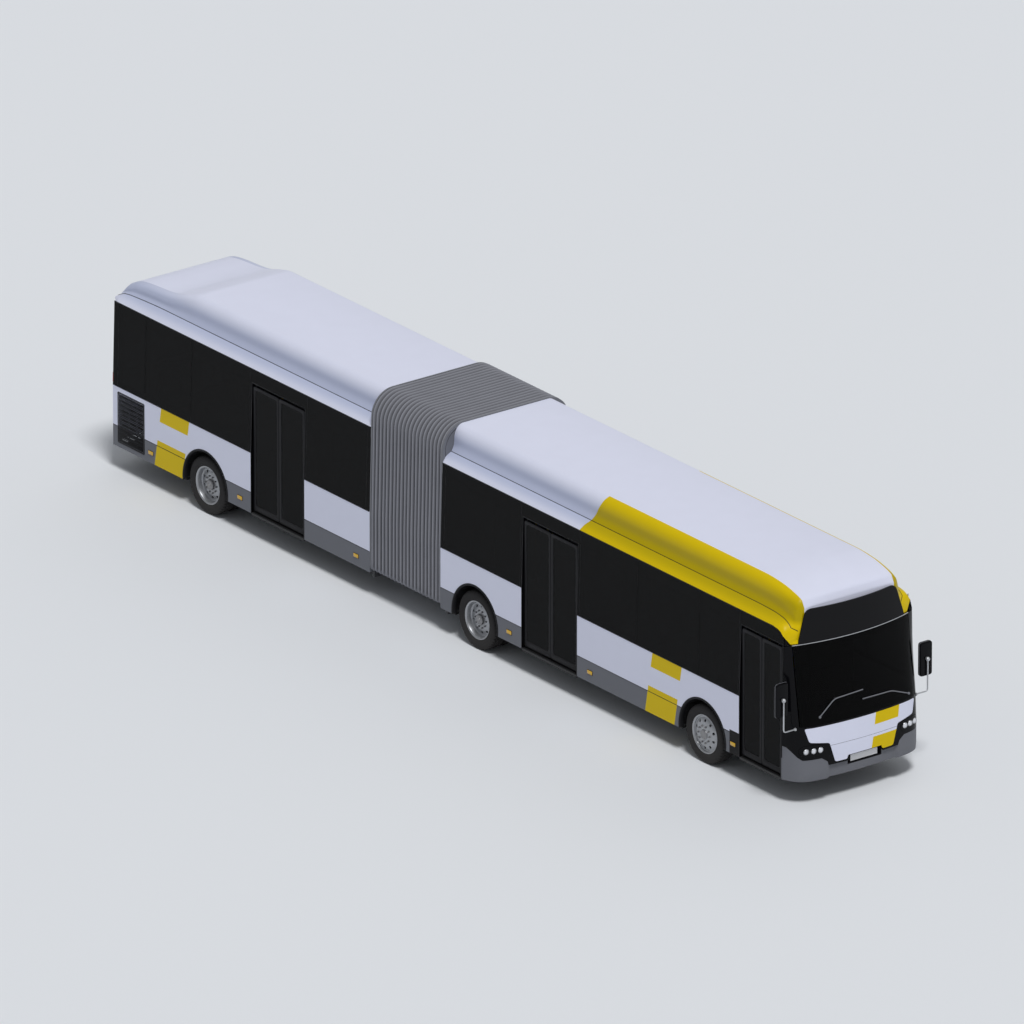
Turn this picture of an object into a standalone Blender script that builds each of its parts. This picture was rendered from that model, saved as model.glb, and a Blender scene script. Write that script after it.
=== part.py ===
"""Articulated low-floor city bus: two body sections joined by a turntable and a bellows.

Units are metres. +X is forward, +Y is the driver's side (left), +Z is up. The origin is on the road,
under the centre of the whole bus. The passenger doors are on the right side, at -Y.
"""

from math import cos, pi, radians, sin

import bmesh
import bpy
from mathutils import Matrix, Vector

# Clearances
TOUCH = 0.0003
RUN = 0.006
PIN_GAP = 0.0005

# Whole bus
NOSE_X = 8.98
TAIL_X = -8.98
HALF_W = 1.275
WALL = 0.06
SKIRT_Z = 0.41
BELT_Z = 1.44
GUTTER_Z = 2.84
LEAN = 0.04
CEILING_Z = 2.80

# Floor, with its underside above the axle beams
FLOOR_Z = 0.425
FLOOR_T = 0.05
DECK_Z = 0.98
DECK_FRONT_X = -7.00
APRON_X = 8.80
APRON_HALF_W = HALF_W - 0.325

# Front section and rear section, and the turntable between them
FRONT_REAR_X = -0.164
REAR_FRONT_X = -2.010
PIVOT_X = (FRONT_REAR_X + REAR_FRONT_X) / 2
FRAME_T = 0.06
FRAME_FOOT = 0.125
PASSAGE_HALF_W = HALF_W - 0.575
PASSAGE_Z = 2.35
DISC_R = 0.85
DISC_T = 0.05
BASE_T = 0.07
BASE_HALF_W = 0.35
ARM_HALF_W = 0.50
PIN_R = 0.08

# Bellows
PLEATS = 17
PLEAT_DEPTH = 0.045
BELLOWS_T = 0.012
BELLOWS_Z = 0.44
BELLOWS_TOP_Z = 3.44
BELLOWS_CORNER_R = 0.42
BELLOWS_CORNER_STEPS = 3

# Axles and wheels
FRONT_AXLE_X = 6.538
MIDDLE_AXLE_X = 0.7235
REAR_AXLE_X = -6.326
TYRE_R = 0.479
TYRE_W = 0.276
RIM_R = 0.2985
RIM_W = 0.225
RIM_T = 0.014
TWIN_GAP = 0.04
WHEEL_OUTER_Y = HALF_W - 0.025
STUB_R = 0.055
WHEEL_SEGMENTS = 20
ARCH_R = 0.575
BOX_T = 0.03
FRONT_BOX_Y = HALF_W - 0.675
TWIN_BOX_Y = HALF_W - 0.775
KINGPIN_Y = HALF_W - 0.345
KINGPIN_R = 0.025
EYE_R = 0.040
EYE_Z = 0.405
EYE_TOP_Z = 0.555
YOKE_GAP = 0.005
YOKE_T = 0.025
YOKE_HALF_L = 0.05
FRONT_STUB_OUT = 0.10
PIN_SEGMENTS = 16
BEAM_Z = 0.24
BEAM_T = 0.11
SPRING_Y = TWIN_BOX_Y - 0.12
SPRING_R = 0.085
PORTAL_Z = 0.40
PORTAL_TOP_Z = 0.56
PORTAL_HALF_L = 0.10
TWIN_STUB_OUT = 0.03

# Windows
WINDOW_Z = 1.50
WINDOW_TOP_Z = 2.64
PANE_T = 0.02
SCREEN_HALF_W = HALF_W - 0.145
SCREEN_Z = 1.30
SCREEN_TOP_Z = 2.59
SIGN_TOP_Z = 3.13
SIGN_HALF_LOW = HALF_W - 0.23
SIGN_HALF_TOP = HALF_W - 0.405
REAR_GLASS_HALF_W = HALF_W - 0.275
REAR_GLASS_Z = 1.55
REAR_GLASS_TOP_Z = 2.55

# Doors
DOOR_TOP_Z = 2.605
LEAF_Z = 0.460
LEAF_TOP_Z = 2.560
LEAF_T = 0.04
LEAF_FRAME = 0.05
LEAF_FACE_Y = HALF_W - 0.036
LEAF_PIVOT_IN = 0.085
JAMB_GAP = 0.018
LEAF_GAP = 0.012
COLUMN_R = 0.016
COLUMN_SET = 0.032
COLUMN_TOP_Z = 2.592
ARM_T = 0.021
BOSS_R = 0.012
BRACKET_HALF = 0.03
BRACKET_T = 0.04
LEAF_PANE = (0.006, 0.016)

# Windows of each wall: start x, end x
RIGHT_FRONT_WINDOWS = ((-0.02, 1.83), (3.45, 4.80), (4.90, 6.37), (6.47, 7.38))
LEFT_FRONT_WINDOWS = ((-0.02, 1.83), (1.93, 3.35), (3.45, 4.80), (4.90, 6.37), (6.47, 7.38), (7.48, 8.40))
RIGHT_REAR_WINDOWS = ((-8.60, -7.98), (-7.88, -6.76), (-6.66, -5.22), (-3.62, -2.15))
LEFT_REAR_WINDOWS = ((-8.60, -7.98), (-7.88, -6.76), (-6.66, -5.22), (-5.12, -3.72), (-3.62, -2.15))

# Engine grille in the right rear wall
GRILLE_X = (-8.62, -7.97)
GRILLE_Z = (0.52, 1.32)
GRILLE_SLATS = 9

# Outside mirrors
MIRROR_X = 8.71
MIRROR_Y = HALF_W + 0.125
MIRROR_HALF_W = 0.12
MIRROR_Z = 1.51
MIRROR_TOP_Z = 2.07
MIRROR_T = 0.08
MIRROR_CORNER_R = 0.04
BALL_Z = 1.80
BALL_R = 0.04
ROD_R = 0.013
ROD_Z = 1.27

# Doorways in the right wall: name, start x, end x
DOORS = (
    ("front_door", 7.472, 8.505),
    ("middle_door", 1.936, 3.333),
    ("rear_door", -5.110, -3.730),
)

# Roof sections: x, top z, top half width, cove top z, cove half width,
# crease z, crease half width, gutter z, gutter half width, ceiling z
ROOF_COLUMNS = (
    "x", "top_z", "top_y", "cove_z", "cove_y", "crease_z", "crease_y", "gutter_z", "gutter_y", "ceiling_z",
)
GUTTER_Y = HALF_W - LEAN
TOP_Y = HALF_W - 0.405
COVE_Y = HALF_W - 0.275
CREASE_Y = HALF_W - 0.215
END_GUTTER_Y = HALF_W - 0.115
FRONT_ROOF = (
    (FRONT_REAR_X, 3.42, TOP_Y, 3.23, COVE_Y, 2.99, CREASE_Y, GUTTER_Z, GUTTER_Y, CEILING_Z),
    (7.60, 3.42, TOP_Y, 3.23, COVE_Y, 2.99, CREASE_Y, GUTTER_Z, GUTTER_Y, CEILING_Z),
    (8.00, 3.39, TOP_Y, 3.20, COVE_Y, 2.98, CREASE_Y, GUTTER_Z, GUTTER_Y, CEILING_Z),
    (8.30, 3.33, TOP_Y, 3.13, COVE_Y, 2.95, CREASE_Y + 0.01, GUTTER_Z, GUTTER_Y, CEILING_Z),
    (8.43, 3.29, TOP_Y, 3.08, COVE_Y, 2.91, CREASE_Y + 0.02, 2.81, GUTTER_Y, 2.77),
    (8.50, 3.26, TOP_Y, 3.02, COVE_Y, 2.85, CREASE_Y + 0.02, 2.75, GUTTER_Y, 2.70),
)
# The last front section lies just behind the front face: its heights and half widths only
FRONT_ROOF_END = (0.0, 3.14, TOP_Y, 3.00, HALF_W - 0.35, 2.80, COVE_Y, 2.60, SCREEN_HALF_W, 2.60)
REAR_ROOF = (
    (-8.86, 2.95, TOP_Y + 0.05, 2.91, COVE_Y + 0.02, 2.88, CREASE_Y + 0.04, GUTTER_Z, END_GUTTER_Y, GUTTER_Z),
    (-8.70, 3.10, TOP_Y + 0.06, 3.02, COVE_Y + 0.03, 2.95, CREASE_Y + 0.02, GUTTER_Z, GUTTER_Y, GUTTER_Z),
    (-8.45, 3.18, TOP_Y + 0.06, 3.09, COVE_Y + 0.02, 2.97, CREASE_Y + 0.01, GUTTER_Z, GUTTER_Y, CEILING_Z),
    (-7.62, 3.25, TOP_Y + 0.05, 3.13, COVE_Y + 0.01, 2.99, CREASE_Y, GUTTER_Z, GUTTER_Y, CEILING_Z),
    (-7.20, 3.37, TOP_Y + 0.01, 3.20, COVE_Y, 2.99, CREASE_Y, GUTTER_Z, GUTTER_Y, CEILING_Z),
    (-6.95, 3.42, TOP_Y, 3.23, COVE_Y, 2.99, CREASE_Y, GUTTER_Z, GUTTER_Y, CEILING_Z),
    (REAR_FRONT_X, 3.42, TOP_Y, 3.23, COVE_Y, 2.99, CREASE_Y, GUTTER_Z, GUTTER_Y, CEILING_Z),
)

# Front face: height, how far forward its middle is, share of the bow that is parabolic
EDGE_X = 8.54
FRONT_FACE = ((0.38, 8.960, 0.13), (0.50, NOSE_X, 0.13), (0.90, 8.975, 0.13), (1.30, 8.950, 0.14),
              (2.59, 8.760, 0.20), (3.20, 8.690, 0.21))
MASK_T = 0.035
MASK_Z = 0.62
CHIN_Z = 0.50
LAMP_ROW_Z = 0.90
BUMPER_Z = 0.40
# Where the bumper's top rises towards its corners: distance in from the side, height
BUMPER_RISE = (
    (0.615, 0.60), (0.575, 0.69), (0.475, 0.76), (0.175, 0.76), (0.115, 0.81), (0.025, 0.95), (-0.10, 1.00),
)

# Headlamps, three round lamps in a row
LAMP_PITCH = 0.115
LAMP_Y = tuple(HALF_W - 0.225 - step * LAMP_PITCH for step in (2, 1, 0))
LAMP_Z = 0.90
LAMP_R = 0.045
LAMP_OUT = 0.025
HOUSING_R = 0.095
HOUSING_DEPTH = 0.055

# Rear face: height, how far back its middle is
REAR_EDGE_X = -8.78
REAR_FACE = ((0.40, 8.98), (1.30, 8.98), (2.84, 8.90))
REAR_BOW = 0.05
TAIL_LAMP_Y = (HALF_W - 0.245, HALF_W - 0.085)
TAIL_LAMP_Z = (1.46, 1.62)
TAIL_LAMP_OUT = 0.02

# Double seats: x, middle y, seat floor height
SEAT_HALF_W = 0.42
SEAT_Y = HALF_W - WALL - 0.015 - SEAT_HALF_W
DECK_SEAT_Y = SEAT_Y - 0.08
FRONT_SEATS = (
    (2.35, SEAT_Y, FLOOR_Z), (3.15, SEAT_Y, FLOOR_Z), (3.95, SEAT_Y, FLOOR_Z), (4.75, SEAT_Y, FLOOR_Z),
    (4.15, -SEAT_Y, FLOOR_Z), (4.95, -SEAT_Y, FLOOR_Z),
)
REAR_SEATS = (
    (-2.75, SEAT_Y, FLOOR_Z), (-3.55, SEAT_Y, FLOOR_Z), (-4.35, SEAT_Y, FLOOR_Z), (-5.15, SEAT_Y, FLOOR_Z),
    (-2.75, -SEAT_Y, FLOOR_Z), (-7.75, DECK_SEAT_Y, DECK_Z), (-7.75, -DECK_SEAT_Y, DECK_Z),
)
DRIVER_SEAT_X = 7.45
DRIVER_Y = HALF_W - 0.655
DRIVER_HALF_W = 0.24
WHEEL_RIM_R = 0.225
WHEEL_RIM_T = 0.014
WHEEL_MIDDLE_X = DRIVER_SEAT_X + 0.53
WHEEL_MIDDLE_Z = FLOOR_Z + 0.775
WHEEL_TILT = 25
COLUMN_LENGTH = 0.32
DASH_Y = (DRIVER_Y - 0.92, HALF_W - 0.175)
DASH = (
    (8.15, TOUCH), (8.42, TOUCH), (8.42, 0.525), (8.38, 0.795), (8.20, 0.775), (8.02, 0.595), (8.02, 0.475),
    (8.15, 0.425),
)
CONSOLE = ((7.22, HALF_W - 0.275), (8.20, HALF_W - 0.075), 0.435)
PARTITION = ((7.22, DRIVER_Y - 0.37), (7.26, HALF_W - 0.175), 1.625)
SEAT_FOOT = ((7.24, DRIVER_Y - 0.15), (7.60, DRIVER_Y + 0.15), 0.08)

# Grab poles: x, y; the overhead rails run along the two lines of poles
POLE_Y = HALF_W - 0.875
POLE_R = 0.017
RAIL_Z = 2.00
POLE_SEGMENTS = 6
FRONT_POLES = (
    (0.10, POLE_Y), (2.33, POLE_Y), (3.93, POLE_Y), (4.73, POLE_Y), (7.10, POLE_Y),
    (0.10, -POLE_Y), (1.45, -POLE_Y), (4.13, -POLE_Y), (4.93, -POLE_Y), (7.10, -POLE_Y),
)
REAR_POLES = (
    (-2.77, POLE_Y), (-4.37, POLE_Y), (-5.17, POLE_Y), (-7.77, POLE_Y),
    (-2.77, -POLE_Y), (-5.45, -POLE_Y), (-7.77, -POLE_Y),
)
CROSS_BARS = {"front_seats_and_rails": (0.10, 4.73), "rear_seats_and_rails": (-2.77, -7.77)}

# Engine block, under the rear deck
ENGINE_LOW = (-8.60, -HALF_W + 0.325, 0.48)
ENGINE_HIGH = (-7.30, HALF_W - 0.525, DECK_Z - FLOOR_T - TOUCH)

# Colours: red, green, blue, roughness, metallic
FINISHES = {
    "white_paint": (0.82, 0.82, 0.86, 0.35, 0.0),
    "grey_paint": (0.22, 0.23, 0.24, 0.5, 0.0),
    "black_paint": (0.01, 0.01, 0.012, 0.3, 0.0),
    "dark_glass": (0.02, 0.02, 0.025, 0.08, 0.0),
    "dark_plastic": (0.05, 0.05, 0.055, 0.6, 0.0),
    "bellows_rubber": (0.14, 0.14, 0.15, 0.8, 0.0),
    "tyre_rubber": (0.03, 0.03, 0.03, 0.9, 0.0),
    "rim_steel": (0.42, 0.43, 0.45, 0.45, 0.6),
    "frame_steel": (0.08, 0.08, 0.09, 0.6, 0.5),
    "seat_fabric": (0.16, 0.18, 0.22, 0.9, 0.0),
    "lamp_clear": (0.75, 0.76, 0.78, 0.2, 0.0),
}


def clear_scene():
    """Removes every object that the scene starts with."""
    for obj in list(bpy.data.objects):
        bpy.data.objects.remove(obj)


def new_collection(name):
    """Adds a collection to the scene and returns it."""
    collection = bpy.data.collections.new(name)
    bpy.context.scene.collection.children.link(collection)
    return collection


def make_material(name, red, green, blue, roughness, metallic):
    """Makes a Principled material of one finish."""
    material = bpy.data.materials.new(name)
    material.use_nodes = True
    shader = material.node_tree.nodes["Principled BSDF"]
    shader.inputs["Base Color"].default_value = (red, green, blue, 1.0)
    shader.inputs["Roughness"].default_value = roughness
    shader.inputs["Metallic"].default_value = metallic
    return material


def add_piece(name, bm, finish, collection, materials):
    """Turns a bmesh into a named object with its finish."""
    bmesh.ops.recalc_face_normals(bm, faces=bm.faces)
    mesh = bpy.data.meshes.new(name)
    bm.to_mesh(mesh)
    bm.free()
    obj = bpy.data.objects.new(name, mesh)
    if finish:
        mesh.materials.append(materials[finish])
    collection.objects.link(obj)
    return obj


def add_prism(bm, outline, axis, start, end):
    """Adds a prism: the outline lies across the axis, in the order of the other two axes."""
    lift = {
        "X": lambda a, b, c: (c, a, b),
        "Y": lambda a, b, c: (a, c, b),
        "Z": lambda a, b, c: (a, b, c),
    }[axis]
    low = [bm.verts.new(lift(a, b, start)) for a, b in outline]
    face = bm.faces.new(low)
    made = bmesh.ops.extrude_face_region(bm, geom=[face])["geom"]
    top = [item for item in made if isinstance(item, bmesh.types.BMVert)]
    bmesh.ops.translate(bm, verts=top, vec=Vector(lift(0.0, 0.0, end - start)))
    return bm


def add_box(bm, low, high):
    """Adds a box between two corners."""
    size = [b - a for a, b in zip(low, high)]
    middle = [(a + b) / 2 for a, b in zip(low, high)]
    matrix = Matrix.Translation(middle) @ Matrix.Diagonal((*size, 1.0))
    bmesh.ops.create_cube(bm, size=1.0, matrix=matrix)
    return bm


def add_cylinder(bm, middle, axis, radius, length, segments):
    """Adds a cylinder about a middle point, along X, Y or Z."""
    turn = {
        "X": Matrix.Rotation(pi / 2, 4, "Y"),
        "Y": Matrix.Rotation(pi / 2, 4, "X"),
        "Z": Matrix.Identity(4),
    }
    bmesh.ops.create_cone(
        bm, cap_ends=True, segments=segments, radius1=radius, radius2=radius, depth=length,
        matrix=Matrix.Translation(middle) @ turn[axis],
    )
    return bm


def add_turned(bm, profile, middle, segments):
    """Turns a closed profile of (radius, y) points about the Y axis, so that a flat lies at the bottom."""
    half = pi / segments
    along = cos(half)
    up = sin(half)
    verts = [bm.verts.new((middle[0] + r * along, middle[1] + y, middle[2] + r * up)) for r, y in profile]
    edges = [bm.edges.new((verts[i - 1], verts[i])) for i in range(len(verts))]
    bmesh.ops.spin(
        bm, geom=verts + edges, cent=middle, axis=(0.0, 1.0, 0.0), angle=2 * pi, steps=segments,
        use_merge=True,
    )
    return bm


def add_loft(bm, rings):
    """Joins closed rings of equally many points, with a cap at each end."""
    rows = [[bm.verts.new(point) for point in ring] for ring in rings]
    count = len(rows[0])
    for row, following in zip(rows, rows[1:]):
        for i in range(count):
            bm.faces.new((row[i - 1], row[i], following[i], following[i - 1]))
    bm.faces.new(rows[0])
    bm.faces.new(rows[-1])
    return bm


def add_tube_shell(bm, outer, inner):
    """Joins two lofts of rings into one open-ended tube with a wall."""
    walls = [[[bm.verts.new(point) for point in ring] for ring in rings] for rings in (outer, inner)]
    count = len(outer[0])
    for rows in walls:
        for row, following in zip(rows, rows[1:]):
            for i in range(count):
                bm.faces.new((row[i - 1], row[i], following[i], following[i - 1]))
    for end in (0, -1):
        for i in range(count):
            bm.faces.new((walls[0][end][i - 1], walls[0][end][i], walls[1][end][i], walls[1][end][i - 1]))
    return bm


def combine(piece, bm, operation, cutters):
    """Cuts or joins a piece with a tool that stays hidden; the tool's own solids may overlap."""
    tool = add_piece(piece.name + "_" + operation.lower(), bm, None, cutters, {})
    tool.hide_render = True
    tool.display_type = "WIRE"
    modifier = piece.modifiers.new(operation.title(), "BOOLEAN")
    modifier.operation = operation
    modifier.use_self = True
    modifier.object = tool
    return piece


def arc(middle, radius, start, end, steps):
    """Points of an arc, in degrees, both ends included."""
    angles = [radians(start + (end - start) * i / steps) for i in range(steps + 1)]
    return [(middle[0] + radius * cos(angle), middle[1] + radius * sin(angle)) for angle in angles]


def bore_radius(pin_radius, segments):
    """The corner radius of a faceted bore whose flats clear a pin at any turn."""
    return (pin_radius + PIN_GAP) / cos(pi / segments)


def wall_y(z):
    """Half width of the body at a height: upright to the belt, then leaning in."""
    if z <= BELT_Z:
        return HALF_W
    return HALF_W - LEAN * (z - BELT_Z) / (GUTTER_Z - BELT_Z)


def between(table, z):
    """Reads a table by its first column, with straight lines between its rows."""
    if z <= table[0][0]:
        return table[0][1:]
    for low, high in zip(table, table[1:]):
        if z <= high[0]:
            share = (z - low[0]) / (high[0] - low[0])
            return tuple(a + (b - a) * share for a, b in zip(low[1:], high[1:]))
    return table[-1][1:]


def front_x(y, z):
    """Where the front face lies, bowed in plan and leaning back with height."""
    nose, bow = between(FRONT_FACE, z)
    side = min(abs(y) / wall_y(z), 1.0)
    return nose - bow * side**2 - (nose - EDGE_X - bow) * side**12


def rear_x(y, z):
    """Where the rear face lies, nearly flat with round corners."""
    (tail,) = between(REAR_FACE, z)
    side = min(abs(y) / wall_y(z), 1.0)
    return -tail + REAR_BOW * side**2 + (tail + REAR_EDGE_X - REAR_BOW) * side**14


def face_strip(bm, place, thickness, heights, half_width, steps=16, first=-1.0, last=1.0):
    """Adds a curved plate that follows the front or rear face, thickness deep behind it.

    place gives x from y and z, and half_width gives the plate's half width from z.
    """
    sign = 1.0 if place is front_x else -1.0
    shares = [first + (last - first) * i / steps for i in range(steps + 1)]
    # Points crowd towards the corners, where the face turns.
    shares = [1.0 - (1.0 - abs(s)) ** 1.6 if s >= 0 else (1.0 - abs(s)) ** 1.6 - 1.0 for s in shares]
    outer = []
    inner = []
    for z in heights:
        front = []
        back = []
        for share in shares:
            y = share * half_width(z)
            step = 0.004
            slope = (place(y + step, z) - place(y - step, z)) / (2 * step)
            length = (1.0 + slope * slope) ** 0.5
            x = place(y, z)
            inner_x = x - sign * thickness / length
            if place is front_x:
                x, inner_x = max(x, EDGE_X + TOUCH), max(inner_x, EDGE_X + TOUCH)
            else:
                x, inner_x = min(x, REAR_EDGE_X - TOUCH), min(inner_x, REAR_EDGE_X - TOUCH)
            front.append((x, y, z))
            back.append((inner_x, y + sign * thickness * slope / length, z))
        outer.append(front)
        inner.append(back)
    return add_loft(bm, [list(front) + list(reversed(back)) for front, back in zip(outer, inner)])


def wall_outline(side):
    """The wall's cross-section, from the skirt to the gutter, set back behind the glass above the belt."""
    top = GUTTER_Z - TOUCH
    outer = [(HALF_W, SKIRT_Z), (HALF_W, BELT_Z), (HALF_W - PANE_T, BELT_Z), (wall_y(top) - PANE_T, top)]
    inner = [(wall_y(z) - WALL, z) for z in (top, BELT_Z, SKIRT_Z)]
    return [(side * y, z) for y, z in outer + inner]


def glass_outline(side):
    """The side glass's cross-section, bonded to the wall's outside."""
    low = BELT_Z + TOUCH
    top = GUTTER_Z - TOUCH
    outer = [(wall_y(low), low), (wall_y(top), top)]
    inner = [(wall_y(z) - PANE_T + TOUCH, z) for z in (top, low)]
    return [(side * y, z) for y, z in outer + inner]


def gutter_cut(bm, side):
    """Rounds off the wall's upper front corner under the roof's front sweep."""
    rows = [row for row in FRONT_ROOF if row[7] < GUTTER_Z] + [(EDGE_X + 0.01, *FRONT_ROOF_END[1:])]
    line = [(FRONT_ROOF[3][0], GUTTER_Z)] + [(row[0], row[7]) for row in rows]
    above = GUTTER_Z + 0.1
    outline = [(x, z - TOUCH) for x, z in line] + [(EDGE_X + 0.01, above), (line[0][0], above)]
    low, high = sorted((side * (HALF_W - 2 * WALL - LEAN), side * (HALF_W + WALL)))
    return add_prism(bm, outline, "Y", low, high)


def cut_windows(bm, side, windows):
    """Adds a cutter for each window of a wall."""
    low, high = sorted((side * (HALF_W - 2 * WALL - LEAN), side * (HALF_W + WALL)))
    for start, end in windows:
        add_box(bm, (start, low, WINDOW_Z), (end, high, WINDOW_TOP_Z))
    return bm


def cut_doors(bm, start_x, end_x):
    """Adds a cutter for each doorway of the right wall between two places."""
    for _name, start, end in DOORS:
        if start_x < start and end < end_x:
            add_box(bm, (start, -HALF_W - WALL, SKIRT_Z - WALL), (end, -HALF_W + 2 * WALL, DOOR_TOP_Z))
    return bm


def cut_arch(bm, side, axle_x):
    """Adds a round cutter over one wheel."""
    low, high = sorted((side * (HALF_W - 2 * WALL), side * (HALF_W + WALL)))
    outline = [(axle_x + ARCH_R, 0.0)] + arc((axle_x, TYRE_R), ARCH_R, 0, 180, 12) + [(axle_x - ARCH_R, 0.0)]
    return add_prism(bm, outline, "Y", low, high)


def make_wall(name, side, start_x, end_x, windows, axles, build):
    """One side wall with its windows, doorways and wheel arches cut."""
    bm = add_prism(bmesh.new(), wall_outline(side), "X", start_x, end_x)
    wall = add_piece(name, bm, "white_paint", *build[:2])
    cutter = cut_windows(bmesh.new(), side, windows)
    if side < 0:
        cut_doors(cutter, start_x, end_x)
    for axle_x in axles:
        cut_arch(cutter, side, axle_x)
    if end_x == EDGE_X:
        gutter_cut(cutter, side)
    if start_x == REAR_EDGE_X and side < 0:
        low = (GRILLE_X[0], -HALF_W - WALL, GRILLE_Z[0])
        high = (GRILLE_X[1], -HALF_W + 2 * WALL, GRILLE_Z[1])
        add_box(cutter, low, high)
    return combine(wall, cutter, "DIFFERENCE", build[2])


def add_grille(wall, build):
    """Joins the engine grille's slats and uprights to the wall round its opening."""
    bm = bmesh.new()
    lap = 0.01
    pitch = (GRILLE_Z[1] - GRILLE_Z[0]) / (GRILLE_SLATS + 1)
    for i in range(1, GRILLE_SLATS + 1):
        z = GRILLE_Z[0] + i * pitch
        outline = [(-HALF_W + 0.010, z - 0.012), (-HALF_W + 0.010, z), (-HALF_W + 0.040, z + 0.022),
                   (-HALF_W + 0.040, z + 0.010)]
        add_prism(bm, outline, "X", GRILLE_X[0] - lap, GRILLE_X[1] + lap)
    step = (GRILLE_X[1] - GRILLE_X[0]) / 3
    for i in (1, 2):
        x = GRILLE_X[0] + i * step
        low = (x - 0.008, -HALF_W + 0.030, GRILLE_Z[0] - lap)
        high = (x + 0.008, -HALF_W + 0.046, GRILLE_Z[1] + lap)
        add_box(bm, low, high)
    return combine(wall, bm, "UNION", build[2])


def make_side_glass(name, side, start_x, end_x, build):
    """The long bonded glass band of one wall, cut away round the doorways."""
    bm = add_prism(bmesh.new(), glass_outline(side), "X", start_x, end_x)
    glass = add_piece(name, bm, "dark_glass", *build[:2])
    cutter = bmesh.new()
    if side < 0:
        cut_doors(cutter, start_x, end_x)
    if end_x == EDGE_X:
        gutter_cut(cutter, side)
    if cutter.verts:
        combine(glass, cutter, "DIFFERENCE", build[2])
    else:
        cutter.free()
    return glass


def roof_ring(row, place_x=None):
    """One cross-section of the roof: ceiling, gutter, cove and crown."""
    at = dict(zip(ROOF_COLUMNS, row))
    crease = (at["crease_y"], at["crease_z"])
    cove = (at["cove_y"], at["cove_z"])
    top = (at["top_y"], at["top_z"])
    half = [
        (at["gutter_y"] - WALL - 0.15, at["ceiling_z"]),
        (at["gutter_y"] - WALL, at["gutter_z"]),
        (at["gutter_y"], at["gutter_z"]),
        ((at["gutter_y"] + crease[0]) / 2 + 0.02, (at["gutter_z"] + crease[1]) / 2 + 0.015),
        crease,
        (crease[0] * 0.6 + cove[0] * 0.4 - 0.025, crease[1] * 0.6 + cove[1] * 0.4),
        cove,
        (cove[0] * 0.62 + top[0] * 0.38 + 0.012, cove[1] * 0.38 + top[1] * 0.62 - 0.005),
        (cove[0] * 0.25 + top[0] * 0.75 + 0.002, cove[1] * 0.1 + top[1] * 0.9),
        (top[0] - 0.06, top[1]),
    ]
    outline = half + [(-y, z) for y, z in reversed(half)]
    if place_x is None:
        return [(at["x"], y, z) for y, z in outline]
    return [(place_x(y, z), y, z) for y, z in outline]


def make_roofs(build):
    """The two roofs, lofted along the bus."""
    def behind_front(y, z):
        return front_x(y, z) - PANE_T - 2 * TOUCH - 0.01

    rings = [roof_ring(row) for row in FRONT_ROOF] + [roof_ring(FRONT_ROOF_END, behind_front)]
    add_piece("front_roof", add_loft(bmesh.new(), rings), "white_paint", *build[:2])
    rings = [roof_ring(row) for row in REAR_ROOF]
    add_piece("rear_roof", add_loft(bmesh.new(), rings), "white_paint", *build[:2])


def wheel_box_outline(axle_x, radius, foot_z):
    """A wheel box seen from the side: a half round on straight legs."""
    over = arc((axle_x, TYRE_R), radius, 0, 180, 10)
    return [(axle_x + radius, foot_z)] + over + [(axle_x - radius, foot_z)]


def make_floor(name, start_x, end_x, axles, build, deck=False):
    """One floor plate with its wheel boxes and door sills."""
    inner_y = HALF_W - WALL - TOUCH
    bottom = FLOOR_Z - FLOOR_T
    bm = add_box(bmesh.new(), (start_x, -inner_y, bottom), (end_x, inner_y, FLOOR_Z))
    floor = add_piece(name, bm, "dark_plastic", *build[:2])
    joined = bmesh.new()
    cutter = bmesh.new()
    for axle_x, box_y in axles:
        for side in (-1, 1):
            low, high = sorted((side * box_y, side * inner_y))
            outline = wheel_box_outline(axle_x, ARCH_R + BOX_T + 0.01, bottom)
            add_prism(joined, outline, "Y", low, high)
            low, high = sorted((side * (box_y + BOX_T), side * (inner_y + WALL)))
            outline = wheel_box_outline(axle_x, ARCH_R + 0.01, 0.0)
            add_prism(cutter, outline, "Y", low, high)
    for _name, start, end in DOORS:
        if start_x < start and end <= end_x + WALL:
            low = (start + TOUCH, -HALF_W + 0.004, SKIRT_Z - 0.03)
            high = (end - TOUCH, -inner_y + 0.2, FLOOR_Z - 0.002)
            add_box(joined, low, high)
    if deck:
        add_box(joined, (TAIL_X + 0.30, -inner_y, DECK_Z - FLOOR_T), (DECK_FRONT_X, inner_y, DECK_Z))
        add_box(joined, (DECK_FRONT_X - FLOOR_T, -inner_y, bottom), (DECK_FRONT_X, inner_y, DECK_Z - 0.01))
    if end_x > MIDDLE_AXLE_X:
        add_box(joined, (end_x - 0.1, -APRON_HALF_W, bottom), (APRON_X, APRON_HALF_W, FLOOR_Z))
    combine(floor, joined, "UNION", build[2])
    combine(floor, cutter, "DIFFERENCE", build[2])
    return floor


def passage_box(start_x, end_x):
    """The gangway's cutter between two places, with room to spare."""
    low = (start_x - 0.1, -PASSAGE_HALF_W, FLOOR_Z)
    return add_box(bmesh.new(), low, (end_x + 0.1, PASSAGE_HALF_W, PASSAGE_Z))


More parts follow.
